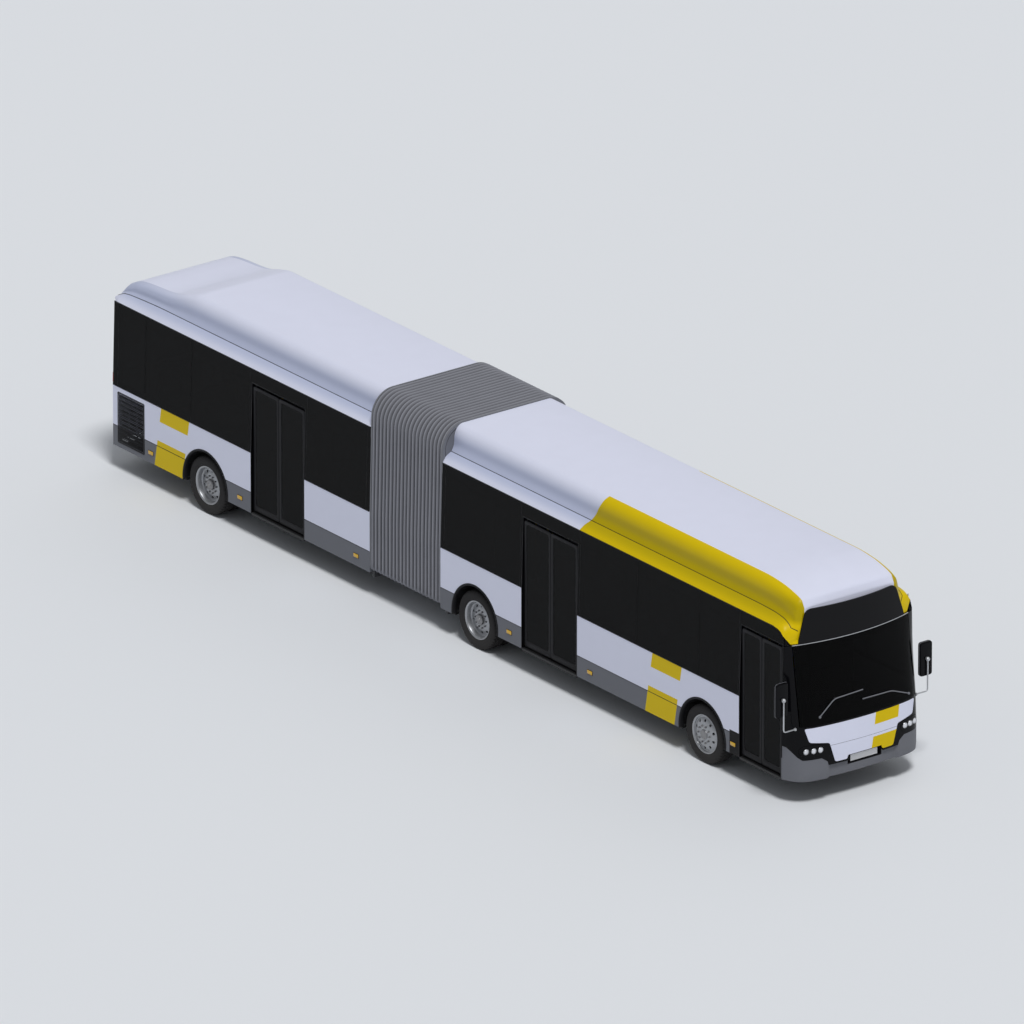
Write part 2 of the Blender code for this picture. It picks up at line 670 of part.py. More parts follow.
def make_joint_frames(build):
    """The two portal frames that carry the bellows, with the turntable's base and disc."""
    pieces, materials, cutters = build
    inner_y = HALF_W - WALL - LEAN - TOUCH
    foot_z = FLOOR_Z - FRAME_FOOT
    disc_z = FLOOR_Z - DISC_T
    base_top = disc_z - 0.005

    front_low = FRONT_REAR_X
    frame_top = CEILING_Z - TOUCH
    bm = add_box(bmesh.new(), (front_low, -inner_y, foot_z), (front_low + FRAME_T, inner_y, frame_top))
    frame = add_piece("front_joint_frame", bm, "frame_steel", pieces, materials)
    combine(frame, passage_box(front_low, front_low + FRAME_T), "DIFFERENCE", cutters)
    base = [(front_low + 0.02, -BASE_HALF_W)] + [(front_low + 0.02, BASE_HALF_W)]
    base += arc((PIVOT_X, 0.0), BASE_HALF_W, 90, 270, 12)
    bm = add_prism(bmesh.new(), base, "Z", base_top - BASE_T, base_top)
    combine(frame, bm, "UNION", cutters)
    pin_top = FLOOR_Z - 0.005
    middle = (PIVOT_X, 0.0, (base_top - 0.02 + pin_top) / 2)
    bm = add_cylinder(bmesh.new(), middle, "Z", PIN_R, pin_top - base_top + 0.02, PIN_SEGMENTS)
    combine(frame, bm, "UNION", cutters)

    rear_high = REAR_FRONT_X
    bm = add_box(bmesh.new(), (rear_high - FRAME_T, -inner_y, foot_z), (rear_high, inner_y, frame_top))
    frame = add_piece("rear_joint_frame", bm, "frame_steel", pieces, materials)
    combine(frame, passage_box(rear_high - FRAME_T, rear_high), "DIFFERENCE", cutters)
    reach = (DISC_R**2 - ARM_HALF_W**2) ** 0.5
    disc = arc((PIVOT_X, 0.0), DISC_R, -144, 144, 32)
    disc += [(PIVOT_X - reach, ARM_HALF_W), (rear_high - 0.02, ARM_HALF_W)]
    disc += [(rear_high - 0.02, -ARM_HALF_W), (PIVOT_X - reach, -ARM_HALF_W)]
    bm = add_prism(bmesh.new(), disc, "Z", disc_z, FLOOR_Z)
    combine(frame, bm, "UNION", cutters)
    middle = (PIVOT_X, 0.0, FLOOR_Z - DISC_T / 2)
    bm = add_cylinder(bmesh.new(), middle, "Z", bore_radius(PIN_R, PIN_SEGMENTS), 4 * DISC_T, PIN_SEGMENTS)
    combine(frame, bm, "DIFFERENCE", cutters)


def bellows_ring(x, inset):
    """The bellows' cross-section at one place, with round upper corners."""
    side = HALF_W - inset
    top = BELLOWS_TOP_Z - inset
    bottom = BELLOWS_Z + inset
    radius = BELLOWS_CORNER_R - inset
    corner = (side - LEAN - radius, top - radius)
    right = [(side, bottom + 0.05), (side, BELT_Z)] + arc(corner, radius, 0, 90, BELLOWS_CORNER_STEPS)
    outline = right + [(-y, z) for y, z in reversed(right)] + [(-side + 0.05, bottom), (side - 0.05, bottom)]
    return [(x, y, z) for y, z in outline]


def make_bellows(build):
    """The folded tube between the two sections."""
    start = REAR_FRONT_X + TOUCH
    end = FRONT_REAR_X - TOUCH
    step = (end - start) / (2 * PLEATS)
    outer = []
    inner = []
    for i in range(2 * PLEATS + 1):
        depth = PLEAT_DEPTH if i % 2 == 0 else 0.0
        outer.append(bellows_ring(start + i * step, depth))
        inner.append(bellows_ring(start + i * step, depth + BELLOWS_T))
    add_piece("bellows", add_tube_shell(bmesh.new(), outer, inner), "bellows_rubber", *build[:2])


def bumper_line(side, drop):
    """The line of the bumper's top on one side, from the middle outwards."""
    return [(side * (HALF_W - inward), z - drop) for inward, z in BUMPER_RISE]


def bumper_crossing():
    """How far out the bumper's rising line crosses the mask's lower edge."""
    (start_in, start_z), (end_in, end_z) = BUMPER_RISE[:2]
    share = (MASK_Z - start_z) / (end_z - start_z)
    return HALF_W - start_in - (end_in - start_in) * share


def make_front(build):
    """The front mask, windscreen, sign glass and bumper."""
    def face_half(z):
        return wall_y(z) - 0.001

    heights = (MASK_Z, LAMP_ROW_Z, SCREEN_Z, BELT_Z, SCREEN_TOP_Z)
    mask = face_strip(bmesh.new(), front_x, MASK_T, heights, face_half, 20)
    mask = add_piece("front_mask", mask, "black_paint", *build[:2])
    low = (EDGE_X - 0.3, -SCREEN_HALF_W, SCREEN_Z)
    hole = add_box(bmesh.new(), low, (NOSE_X + 0.1, SCREEN_HALF_W, SCREEN_TOP_Z + 0.1))
    for side in (-1, 1):
        add_prism(hole, headlamp_outline(side, TOUCH), "X", EDGE_X - 0.3, NOSE_X + 0.1)
        below = bumper_line(side, 0.0) + [(side * (HALF_W + 0.10), CHIN_Z), (side * (HALF_W - 0.615), CHIN_Z)]
        add_prism(hole, below, "X", EDGE_X - 0.3, NOSE_X + 0.1)
    combine(mask, hole, "DIFFERENCE", build[2])

    def glass_half(z):
        if z < SCREEN_TOP_Z:
            return SCREEN_HALF_W - 0.012
        share = (z - SCREEN_TOP_Z) / (SIGN_TOP_Z - SCREEN_TOP_Z)
        return SIGN_HALF_LOW + (SIGN_HALF_TOP - SIGN_HALF_LOW) * share

    heights = (SCREEN_Z + TOUCH, BELT_Z, SCREEN_TOP_Z - 0.002, SCREEN_TOP_Z, SIGN_TOP_Z)
    glass = face_strip(bmesh.new(), front_x, PANE_T, heights, glass_half, 14)
    add_piece("windscreen", glass, "dark_glass", *build[:2])

    heights = (BUMPER_Z, CHIN_Z, BUMPER_RISE[-1][1] + 0.02)
    bumper = face_strip(bmesh.new(), front_x, MASK_T, heights, face_half, 20)
    bumper = add_piece("front_bumper", bumper, "grey_paint", *build[:2])
    right = bumper_line(-1, TOUCH)[1:]
    left = bumper_line(1, TOUCH)[1:]
    inner_y = bumper_crossing()
    middle = [(-inner_y, MASK_Z - TOUCH), (inner_y, MASK_Z - TOUCH)]
    above = BUMPER_RISE[-1][1] + 0.10
    outline = list(reversed(right)) + middle + left + [(HALF_W + 0.10, above), (-HALF_W - 0.10, above)]
    over = add_prism(bmesh.new(), outline, "X", EDGE_X - 0.3, NOSE_X + 0.1)
    combine(bumper, over, "DIFFERENCE", build[2])


def make_rear(build):
    """The rear end panel with its window, tail lamps and engine grille."""
    heights = (BUMPER_Z, 1.30, BELT_Z, GUTTER_Z - TOUCH)
    panel = face_strip(bmesh.new(), rear_x, MASK_T, heights, lambda z: wall_y(z) - 0.001, 16)
    panel = add_piece("rear_end", panel, "white_paint", *build[:2])
    low = (TAIL_X - 0.1, -REAR_GLASS_HALF_W, REAR_GLASS_Z)
    hole = add_box(bmesh.new(), low, (TAIL_X + 0.3, REAR_GLASS_HALF_W, REAR_GLASS_TOP_Z))
    combine(panel, hole, "DIFFERENCE", build[2])
    lamps = bmesh.new()
    low, high = TAIL_LAMP_Z
    for side in (-1, 1):
        inner_y, outer_y = (side * y for y in TAIL_LAMP_Y)
        outline = [(inner_y, low), (outer_y, low), (outer_y, high), (inner_y, high)]
        depths = (-TAIL_LAMP_OUT, TAIL_LAMP_OUT)
        add_loft(lamps, [[(rear_x(y, z) + depth, y, z) for y, z in outline] for depth in depths])
    combine(panel, lamps, "UNION", build[2])
    heights = (REAR_GLASS_Z + TOUCH, REAR_GLASS_TOP_Z - TOUCH)
    glass = face_strip(bmesh.new(), rear_x, PANE_T, heights, lambda z: REAR_GLASS_HALF_W - 0.001, 8)
    add_piece("rear_window", glass, "dark_glass", *build[:2])


def headlamp_outline(side, grow):
    """The headlamp housing seen from the front: a long rounded shape."""
    reach = (LAMP_Y[-1] - LAMP_Y[0]) / 2
    middle = (LAMP_Y[-1] + LAMP_Y[0]) / 2
    left = [(middle - reach + y, LAMP_Z + z) for y, z in arc((0.0, 0.0), HOUSING_R + grow, 90, 270, 6)]
    return [(side * y, z) for y, z in left + [(2 * middle - y, z) for y, z in reversed(left)]]


def make_headlamp(name, side, build):
    """One headlamp: a housing let into the mask, with three round lamps."""
    outline = headlamp_outline(side, 0.0)
    rings = [[(front_x(y, z) + depth, y, z) for y, z in outline] for depth in (-HOUSING_DEPTH, 0.004)]
    lamp = add_piece(name, add_loft(bmesh.new(), rings), "lamp_clear", *build[:2])
    lenses = bmesh.new()
    for y in LAMP_Y:
        add_cylinder(lenses, (front_x(y, LAMP_Z), side * y, LAMP_Z), "X", LAMP_R, 2 * LAMP_OUT, 12)
    return combine(lamp, lenses, "UNION", build[2])


def corner_y(x, z):
    """How far out the front face lies at a place along the bus."""
    low, high = 0.0, wall_y(z)
    for _ in range(40):
        middle = (low + high) / 2
        low, high = (middle, high) if front_x(middle, z) > x else (low, middle)
    return low


def make_mirror(name, side, build):
    """One outside mirror: a rounded housing on a bent rod from the front corner."""
    reach = MIRROR_HALF_W - MIRROR_CORNER_R
    low, high = sorted((side * (MIRROR_Y - reach), side * (MIRROR_Y + reach)))
    foot_z = MIRROR_Z + MIRROR_CORNER_R
    top_z = MIRROR_TOP_Z - MIRROR_CORNER_R
    outline = []
    for y, z, start in ((high, top_z, 0), (low, top_z, 90), (low, foot_z, 180), (high, foot_z, 270)):
        outline += arc((y, z), MIRROR_CORNER_R, start, start + 90, 2)
    bm = add_prism(bmesh.new(), outline, "X", MIRROR_X - MIRROR_T, MIRROR_X)
    mirror = add_piece(name, bm, "dark_plastic", *build[:2])
    rod = bmesh.new()
    rod_x = MIRROR_X + 0.03
    out_y = side * MIRROR_Y
    foot = corner_y(rod_x - ROD_R, ROD_Z) + 0.0002
    low = ROD_Z - ROD_R
    add_cylinder(rod, (rod_x, side * (foot + MIRROR_Y) / 2, ROD_Z), "Y", ROD_R, MIRROR_Y - foot, 10)
    add_cylinder(rod, (rod_x, out_y, (low + BALL_Z) / 2), "Z", ROD_R, BALL_Z - low, 10)
    ball = Matrix.Translation((rod_x, out_y, BALL_Z))
    bmesh.ops.create_icosphere(rod, subdivisions=1, radius=BALL_R, matrix=ball)
    return combine(mirror, rod, "UNION", build[2])


def seat_outline(x, floor_z):
    """A seat on its plinth, seen from the side, facing forward."""
    points = (
        (0.00, TOUCH), (0.30, TOUCH), (0.30, 0.36), (0.44, 0.38), (0.45, 0.46), (0.08, 0.46),
        (-0.02, 1.02), (-0.09, 1.02), (-0.02, 0.40),
    )
    return [(x + a, floor_z + b) for a, b in points]


def add_seat(bm, x, y, floor_z, half_w):
    """Adds one seat about a middle line."""
    return add_prism(bm, seat_outline(x, floor_z), "Y", y - half_w, y + half_w)


def make_fittings(name, seats, poles, build):
    """The seats of one section on their wall rails, with the grab poles and overhead rails that join them."""
    fittings = add_piece(name, add_seat(bmesh.new(), *seats[0], SEAT_HALF_W), "seat_fabric", *build[:2])
    tool = bmesh.new()
    for seat in seats[1:]:
        add_seat(tool, *seat, SEAT_HALF_W)
    for side in (-1, 1):
        row = [seat[0] for seat in seats if seat[1] * side > 0 and seat[2] == FLOOR_Z]
        low, high = sorted((side * (HALF_W - WALL - 0.04), side * (HALF_W - WALL - TOUCH)))
        add_box(tool, (min(row), low, FLOOR_Z + 0.30), (max(row) + 0.44, high, FLOOR_Z + 0.36))
    length = CEILING_Z - FLOOR_Z - 2 * TOUCH
    for x, y in poles:
        base = DECK_Z - FLOOR_Z if x < DECK_FRONT_X else 0.0
        middle = (x, y, FLOOR_Z + TOUCH + (length + base) / 2)
        add_cylinder(tool, middle, "Z", POLE_R, length - base, POLE_SEGMENTS)
    for side in (-1, 1):
        line = [x for x, y in poles if y * side > 0]
        middle = ((min(line) + max(line)) / 2, side * POLE_Y, RAIL_Z)
        add_cylinder(tool, middle, "X", POLE_R * 0.9, max(line) - min(line), POLE_SEGMENTS)
    for x in CROSS_BARS[name]:
        add_cylinder(tool, (x, 0.0, RAIL_Z), "Y", POLE_R * 0.8, 2 * POLE_Y, POLE_SEGMENTS)
    return combine(fittings, tool, "UNION", build[2])


def make_cab(build):
    """The driver's place: dashboard, console, seat, partition and steering wheel, joined at the floor."""
    base = FLOOR_Z + TOUCH
    outline = [(x, FLOOR_Z + z) for x, z in DASH]
    cab = add_piece("driver_cab", add_prism(bmesh.new(), outline, "Y", *DASH_Y), "dark_plastic", *build[:2])
    tool = bmesh.new()
    for low, high, height in (CONSOLE, PARTITION, SEAT_FOOT):
        add_box(tool, (*low, base), (*high, FLOOR_Z + height))
    add_seat(tool, DRIVER_SEAT_X, DRIVER_Y, FLOOR_Z, DRIVER_HALF_W)
    rim = bmesh.new()
    angles = [radians(60 * i) for i in range(6)]
    circle = [(WHEEL_RIM_R + WHEEL_RIM_T * cos(a), WHEEL_RIM_T * sin(a)) for a in angles]
    add_turned(rim, circle, (0.0, 0.0, 0.0), 20)
    bmesh.ops.rotate(rim, verts=rim.verts, matrix=Matrix.Rotation(pi / 2, 3, "X"))
    add_box(rim, (-WHEEL_RIM_R, -0.02, -0.008), (WHEEL_RIM_R, 0.02, 0.008))
    add_cylinder(rim, (0.0, 0.0, 0.01 - COLUMN_LENGTH / 2), "Z", 0.03, COLUMN_LENGTH, 12)
    middle = Matrix.Translation((WHEEL_MIDDLE_X, DRIVER_Y, WHEEL_MIDDLE_Z))
    bmesh.ops.transform(rim, matrix=middle @ Matrix.Rotation(radians(WHEEL_TILT), 4, "Y"), verts=rim.verts)
    spare = bpy.data.meshes.new("steering")
    rim.to_mesh(spare)
    rim.free()
    tool.from_mesh(spare)
    bpy.data.meshes.remove(spare)
    return combine(cab, tool, "UNION", build[2])


def make_engine(build):
    """The engine under the rear deck."""
    bm = add_box(bmesh.new(), ENGINE_LOW, ENGINE_HIGH)
    add_piece("engine", bm, "frame_steel", *build[:2])


def tyre_half():
    """Half of a tyre's outside, from the middle of the tread to the bead, as (radius, y)."""
    half = TYRE_W / 2
    tread = TYRE_R / cos(pi / WHEEL_SEGMENTS)
    return [(tread, half - 0.03), (TYRE_R - 0.06, half), (RIM_R + 0.03, half - 0.02)]


def tyre_profile(side, twin):
    """The closed profile of a tyre, or of twin tyres with the spacer band between their beads."""
    outside = tyre_half()
    inside = [(radius, -y) for radius, y in reversed(outside)]
    shift = TYRE_W + TWIN_GAP
    points = [(RIM_R + TOUCH, RIM_W / 2 - 0.01)] + list(reversed(outside)) + list(reversed(inside))
    if twin:
        points += [(radius, y - shift) for radius, y in list(reversed(outside)) + list(reversed(inside))]
        points += [(RIM_R + TOUCH, -RIM_W / 2 + 0.01 - shift)]
    else:
        points += [(RIM_R + TOUCH, -RIM_W / 2 + 0.01)]
    return [(radius, side * y) for radius, y in points]


def rim_profile(side, twin):
    """The rim's closed profile, with the disc and hub; y grows towards the outside of the bus."""
    half = RIM_W / 2
    inner = RIM_R - RIM_T
    reach = half + (TYRE_W + TWIN_GAP if twin else 0.0)
    disc = -0.01 if twin else half - 0.04
    hub = disc + 0.06
    bore = bore_radius(STUB_R, WHEEL_SEGMENTS)
    points = [
        (RIM_R, half), (inner, half), (inner, disc + 0.03), (0.13, hub), (bore, hub),
        (bore, disc - 0.12), (0.13, disc - 0.12), (inner, disc), (inner, -reach), (RIM_R, -reach),
    ]
    return [(radius, side * y) for radius, y in points]


def make_wheel(name, side, axle_x, twin, build):
    """One wheel: its tyre or twin tyres, and the rim with its hub."""
    outer_y = WHEEL_OUTER_Y - TYRE_W / 2
    middle = (axle_x, side * outer_y, TYRE_R)
    bm = add_turned(bmesh.new(), tyre_profile(side, twin), middle, WHEEL_SEGMENTS)
    add_piece(name + "_tyre", bm, "tyre_rubber", *build[:2])
    bm = add_turned(bmesh.new(), rim_profile(side, twin), middle, WHEEL_SEGMENTS)
    add_piece(name + "_rim", bm, "rim_steel", *build[:2])


def make_knuckle(name, side, build):
    """A steering knuckle: a yoke about the kingpin, with the stub that carries the wheel."""
    low = KINGPIN_Y - EYE_R - YOKE_GAP
    high = KINGPIN_Y + EYE_R + YOKE_GAP
    plate = high + YOKE_T
    foot = EYE_Z - YOKE_GAP
    top = EYE_TOP_Z + YOKE_GAP
    yoke = [(low, foot - YOKE_T), (plate, foot - YOKE_T), (plate, top + YOKE_T), (low, top + YOKE_T)]
    yoke += [(low, top), (high, top), (high, foot), (low, foot)]
    outline = [(side * y, z) for y, z in yoke]
    bm = add_prism(bmesh.new(), outline, "X", FRONT_AXLE_X - YOKE_HALF_L, FRONT_AXLE_X + YOKE_HALF_L)
    knuckle = add_piece(name, bm, "frame_steel", *build[:2])
    start = plate - YOKE_T / 2
    end = WHEEL_OUTER_Y - TYRE_W / 2 + FRONT_STUB_OUT
    middle = (FRONT_AXLE_X, side * (start + end) / 2, TYRE_R)
    stub = add_cylinder(bmesh.new(), middle, "Y", STUB_R, end - start, PIN_SEGMENTS)
    combine(knuckle, stub, "UNION", build[2])
    middle = (FRONT_AXLE_X, side * KINGPIN_Y, (foot + top) / 2)
    pin = add_cylinder(bmesh.new(), middle, "Z", KINGPIN_R, top - foot + YOKE_T, PIN_SEGMENTS)
    combine(knuckle, pin, "UNION", build[2])


def make_front_axle(build):
    """The dropped front beam with a round eye for each kingpin."""
    half = [(KINGPIN_Y, EYE_Z), (KINGPIN_Y, EYE_TOP_Z), (KINGPIN_Y - 0.09, EYE_TOP_Z)]
    half += [(KINGPIN_Y - 0.25, BEAM_Z + BEAM_T)]
    low = [(KINGPIN_Y - 0.27, BEAM_Z), (KINGPIN_Y - 0.13, EYE_Z)]
    outline = half + [(-y, z) for y, z in reversed(half)] + [(-y, z) for y, z in reversed(low)] + low
    bm = add_prism(bmesh.new(), outline, "X", FRONT_AXLE_X - EYE_R, FRONT_AXLE_X + EYE_R)
    axle = add_piece("front_axle", bm, "frame_steel", *build[:2])
    eyes = bmesh.new()
    bores = bmesh.new()
    bore = bore_radius(KINGPIN_R, PIN_SEGMENTS)
    for side in (-1, 1):
        middle = (FRONT_AXLE_X, side * KINGPIN_Y, (EYE_Z + EYE_TOP_Z) / 2)
        add_cylinder(eyes, middle, "Z", EYE_R, EYE_TOP_Z - EYE_Z, PIN_SEGMENTS)
        add_cylinder(bores, middle, "Z", bore, 2 * (EYE_TOP_Z - EYE_Z), PIN_SEGMENTS)
    combine(axle, eyes, "UNION", build[2])
    combine(axle, bores, "DIFFERENCE", build[2])
    return add_springs(axle, FRONT_AXLE_X, build)


def add_springs(axle, axle_x, build):
    """Joins the two air springs between a beam and the floor's underside."""
    tool = bmesh.new()
    low = BEAM_Z + BEAM_T - 0.02
    high = FLOOR_Z - FLOOR_T - TOUCH
    for side in (-1, 1):
        middle = (axle_x, side * SPRING_Y, (low + high) / 2)
        add_cylinder(tool, middle, "Z", SPRING_R, high - low, PIN_SEGMENTS)
    return combine(axle, tool, "UNION", build[2])


def make_portal_axle(name, axle_x, build):
    """A low axle beam that rises inside the wheel boxes to the hubs of the twin wheels."""
    rise = TWIN_BOX_Y + BOX_T + 0.01
    end = rise + 0.08
    half = [(end, PORTAL_Z), (end, PORTAL_TOP_Z), (rise, PORTAL_TOP_Z), (rise, BEAM_Z + BEAM_T)]
    outline = half + [(-y, z) for y, z in reversed(half)] + [(-rise - 0.02, BEAM_Z), (rise + 0.02, BEAM_Z)]
    bm = add_prism(bmesh.new(), outline, "X", axle_x - PORTAL_HALF_L, axle_x + PORTAL_HALF_L)
    axle = add_piece(name, bm, "frame_steel", *build[:2])
    stub_start = end - 0.02
    stub_end = WHEEL_OUTER_Y - TYRE_W / 2 + TWIN_STUB_OUT
    stubs = bmesh.new()
    for side in (-1, 1):
        middle = (axle_x, side * (stub_start + stub_end) / 2, TYRE_R)
        add_cylinder(stubs, middle, "Y", STUB_R, stub_end - stub_start, PIN_SEGMENTS)
    combine(axle, stubs, "UNION", build[2])
    return add_springs(axle, axle_x, build)


def make_leaf(name, column_x, hand, width, build):
    """One door leaf: a frame, its glass and the brackets that the arms turn in.

    hand is 1 where the column stands at the leaf's low x end, and -1 at its high end.
    """
    start = column_x + hand * COLUMN_SET
    end = start + hand * width
    middle = (start + end) / 2
    face = -LEAF_FACE_Y
    back = face + LEAF_T
    pivot = face + LEAF_PIVOT_IN
    low_x, high_x = sorted((start, end))
    bm = add_box(bmesh.new(), (low_x, face, LEAF_Z), (high_x, back, LEAF_TOP_Z))
    leaf = add_piece(name, bm, "dark_plastic", *build[:2])
    glass_low = (low_x + LEAF_FRAME, LEAF_Z + LEAF_FRAME + 0.04)
    glass_high = (high_x - LEAF_FRAME, LEAF_TOP_Z - LEAF_FRAME)
    cut = bmesh.new()
    for start_y, end_y in ((face + LEAF_PANE[1], back + 0.01), (face - 0.01, face + LEAF_PANE[0])):
        add_box(cut, (glass_low[0], start_y, glass_low[1]), (glass_high[0], end_y, glass_high[1]))
    combine(leaf, cut, "DIFFERENCE", build[2])
    tool = bmesh.new()
    for z in (LEAF_Z, LEAF_TOP_Z - BRACKET_T):
        low = (middle - BRACKET_HALF, back - 0.01, z)
        add_box(tool, low, (middle + BRACKET_HALF, pivot + 0.02, z + BRACKET_T))
    return combine(leaf, tool, "UNION", build[2])


def make_arm(name, column_x, hand, width, build):
    """One door column with its lower and upper arm, which end over the leaf's middle."""
    pivot_y = -LEAF_FACE_Y + LEAF_PIVOT_IN
    reach = COLUMN_SET + width / 2
    low = FLOOR_Z + TOUCH
    middle = (column_x, pivot_y, (low + COLUMN_TOP_Z) / 2)
    bm = add_cylinder(bmesh.new(), middle, "Z", COLUMN_R, COLUMN_TOP_Z - low, 8)
    arm = add_piece(name, bm, "frame_steel", *build[:2])
    end = column_x + hand * reach
    low_x, high_x = sorted((column_x, end + hand * BOSS_R))
    tool = bmesh.new()
    for z in (FLOOR_Z + RUN, LEAF_TOP_Z + RUN):
        add_box(tool, (low_x, pivot_y - BOSS_R, z), (high_x, pivot_y + BOSS_R, z + ARM_T))
    for low, high in ((FLOOR_Z + RUN + 0.002, LEAF_Z - PIN_GAP), (LEAF_TOP_Z + PIN_GAP, LEAF_TOP_Z + ARM_T)):
        add_cylinder(tool, (end, pivot_y, (low + high) / 2), "Z", BOSS_R - 0.001, high - low, 8)
    return combine(arm, tool, "UNION", build[2])


def make_doors(build):
    """Two leaves for each doorway, each on its own column."""
    for name, start, end in DOORS:
        width = (end - start - 2 * JAMB_GAP - LEAF_GAP) / 2
        rear_column = start + JAMB_GAP - COLUMN_SET
        front_column = end - JAMB_GAP + COLUMN_SET
        for part, column_x, hand in (("rear", rear_column, 1), ("front", front_column, -1)):
            make_leaf(f"{name}_{part}_leaf", column_x, hand, width, build)
            make_arm(f"{name}_{part}_arm", column_x, hand, width, build)


def main():
    """Builds every piece of the bus."""
    clear_scene()
    pieces = new_collection("articulated_bus")
    cutters = new_collection("cutters")
    materials = {name: make_material(name, *values) for name, values in FINISHES.items()}
    build = (pieces, materials, cutters)

    front_axles = (MIDDLE_AXLE_X, FRONT_AXLE_X)
    make_wall("front_wall_right", -1, FRONT_REAR_X, EDGE_X, RIGHT_FRONT_WINDOWS, front_axles, build)
    make_wall("front_wall_left", 1, FRONT_REAR_X, EDGE_X, LEFT_FRONT_WINDOWS, front_axles, build)
    rear_axles = (REAR_AXLE_X,)
    wall = make_wall("rear_wall_right", -1, REAR_EDGE_X, REAR_FRONT_X, RIGHT_REAR_WINDOWS, rear_axles, build)
    add_grille(wall, build)
    make_wall("rear_wall_left", 1, REAR_EDGE_X, REAR_FRONT_X, LEFT_REAR_WINDOWS, rear_axles, build)
    make_roofs(build)
    make_floor(
        "front_floor", FRONT_REAR_X + FRAME_T + TOUCH, EDGE_X - 0.002,
        ((MIDDLE_AXLE_X, TWIN_BOX_Y), (FRONT_AXLE_X, FRONT_BOX_Y)), build,
    )
    make_floor(
        "rear_floor", TAIL_X + 0.30, REAR_FRONT_X - FRAME_T - TOUCH, ((REAR_AXLE_X, TWIN_BOX_Y),), build,
        deck=True,
    )
    make_joint_frames(build)
    make_bellows(build)
    make_front(build)
    make_rear(build)
    make_fittings("front_seats_and_rails", FRONT_SEATS, FRONT_POLES, build)
    make_fittings("rear_seats_and_rails", REAR_SEATS, REAR_POLES, build)
    make_cab(build)
    make_engine(build)
    make_front_axle(build)
    make_portal_axle("middle_axle", MIDDLE_AXLE_X, build)
    make_portal_axle("rear_axle", REAR_AXLE_X, build)
    for side, hand in ((1, "left"), (-1, "right")):
        make_side_glass(f"front_glass_{hand}", side, FRONT_REAR_X, EDGE_X, build)
        make_side_glass(f"rear_glass_{hand}", side, REAR_EDGE_X, REAR_FRONT_X, build)
        make_headlamp(f"headlamp_{hand}", side, build)
        make_mirror(f"mirror_{hand}", side, build)
        make_knuckle(f"knuckle_{hand}", side, build)
        make_wheel(f"front_wheel_{hand}", side, FRONT_AXLE_X, False, build)
        make_wheel(f"middle_wheels_{hand}", side, MIDDLE_AXLE_X, True, build)
        make_wheel(f"rear_wheels_{hand}", side, REAR_AXLE_X, True, build)
    make_doors(build)


main()
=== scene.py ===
"""Looks of an articulated low-floor city bus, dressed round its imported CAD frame.

Units are metres in the frame of the CAD row: +X forward, +Y the driver's side, +Z up, the road at z = 0.
Each sub-assembly is a class that models its pieces, gives them their finish and lets them ride on a body.
"""

import logging
from dataclasses import dataclass
from enum import Enum
from math import asin, cos, hypot, pi, radians, sin
from typing import Callable, Iterable, Sequence

import bpy
from mathutils import Matrix, Vector


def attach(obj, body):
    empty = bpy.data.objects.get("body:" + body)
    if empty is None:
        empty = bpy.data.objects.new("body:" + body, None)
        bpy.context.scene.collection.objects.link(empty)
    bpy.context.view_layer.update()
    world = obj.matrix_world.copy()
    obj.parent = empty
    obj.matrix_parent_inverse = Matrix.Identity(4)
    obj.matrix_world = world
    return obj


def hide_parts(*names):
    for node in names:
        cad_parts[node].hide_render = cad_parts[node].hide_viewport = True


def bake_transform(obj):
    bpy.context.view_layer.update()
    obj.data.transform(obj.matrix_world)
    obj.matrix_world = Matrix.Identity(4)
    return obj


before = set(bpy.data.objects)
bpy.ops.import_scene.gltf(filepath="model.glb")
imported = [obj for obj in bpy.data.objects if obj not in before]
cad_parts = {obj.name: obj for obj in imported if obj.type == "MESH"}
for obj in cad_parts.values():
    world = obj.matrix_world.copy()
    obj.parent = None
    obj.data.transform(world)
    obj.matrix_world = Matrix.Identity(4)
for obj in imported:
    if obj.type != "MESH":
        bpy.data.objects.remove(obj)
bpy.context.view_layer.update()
LOG = logging.getLogger("bus")

Point = tuple[float, float, float]
Pair = tuple[float, float]
Colour = tuple[float, float, float]
Place = Callable[[float, float], float]

# White paint colour, with a painted blue cast of sky light mixed in.
SKY_TINTED_WHITE: Colour = (0.74, 0.76, 0.90)
GREY: Colour = (0.160, 0.166, 0.188)
YELLOW: Colour = (0.72, 0.52, 0.001)
NOSE_CUT: Pair = (8.2, 9.2)
TAIL_CUT: Pair = (-9.2, -8.2)


class Section(Enum):
    """The two halves of the bus, each a CAD body."""

    FRONT = "front_section"
    REAR = "rear_section"


class Hand(Enum):
    """A side of the bus, with the sign of its Y."""

    LEFT = 1
    RIGHT = -1

    @property
    def word(self) -> str:
        """The side's name as the CAD nodes spell it."""
        return self.name.lower()


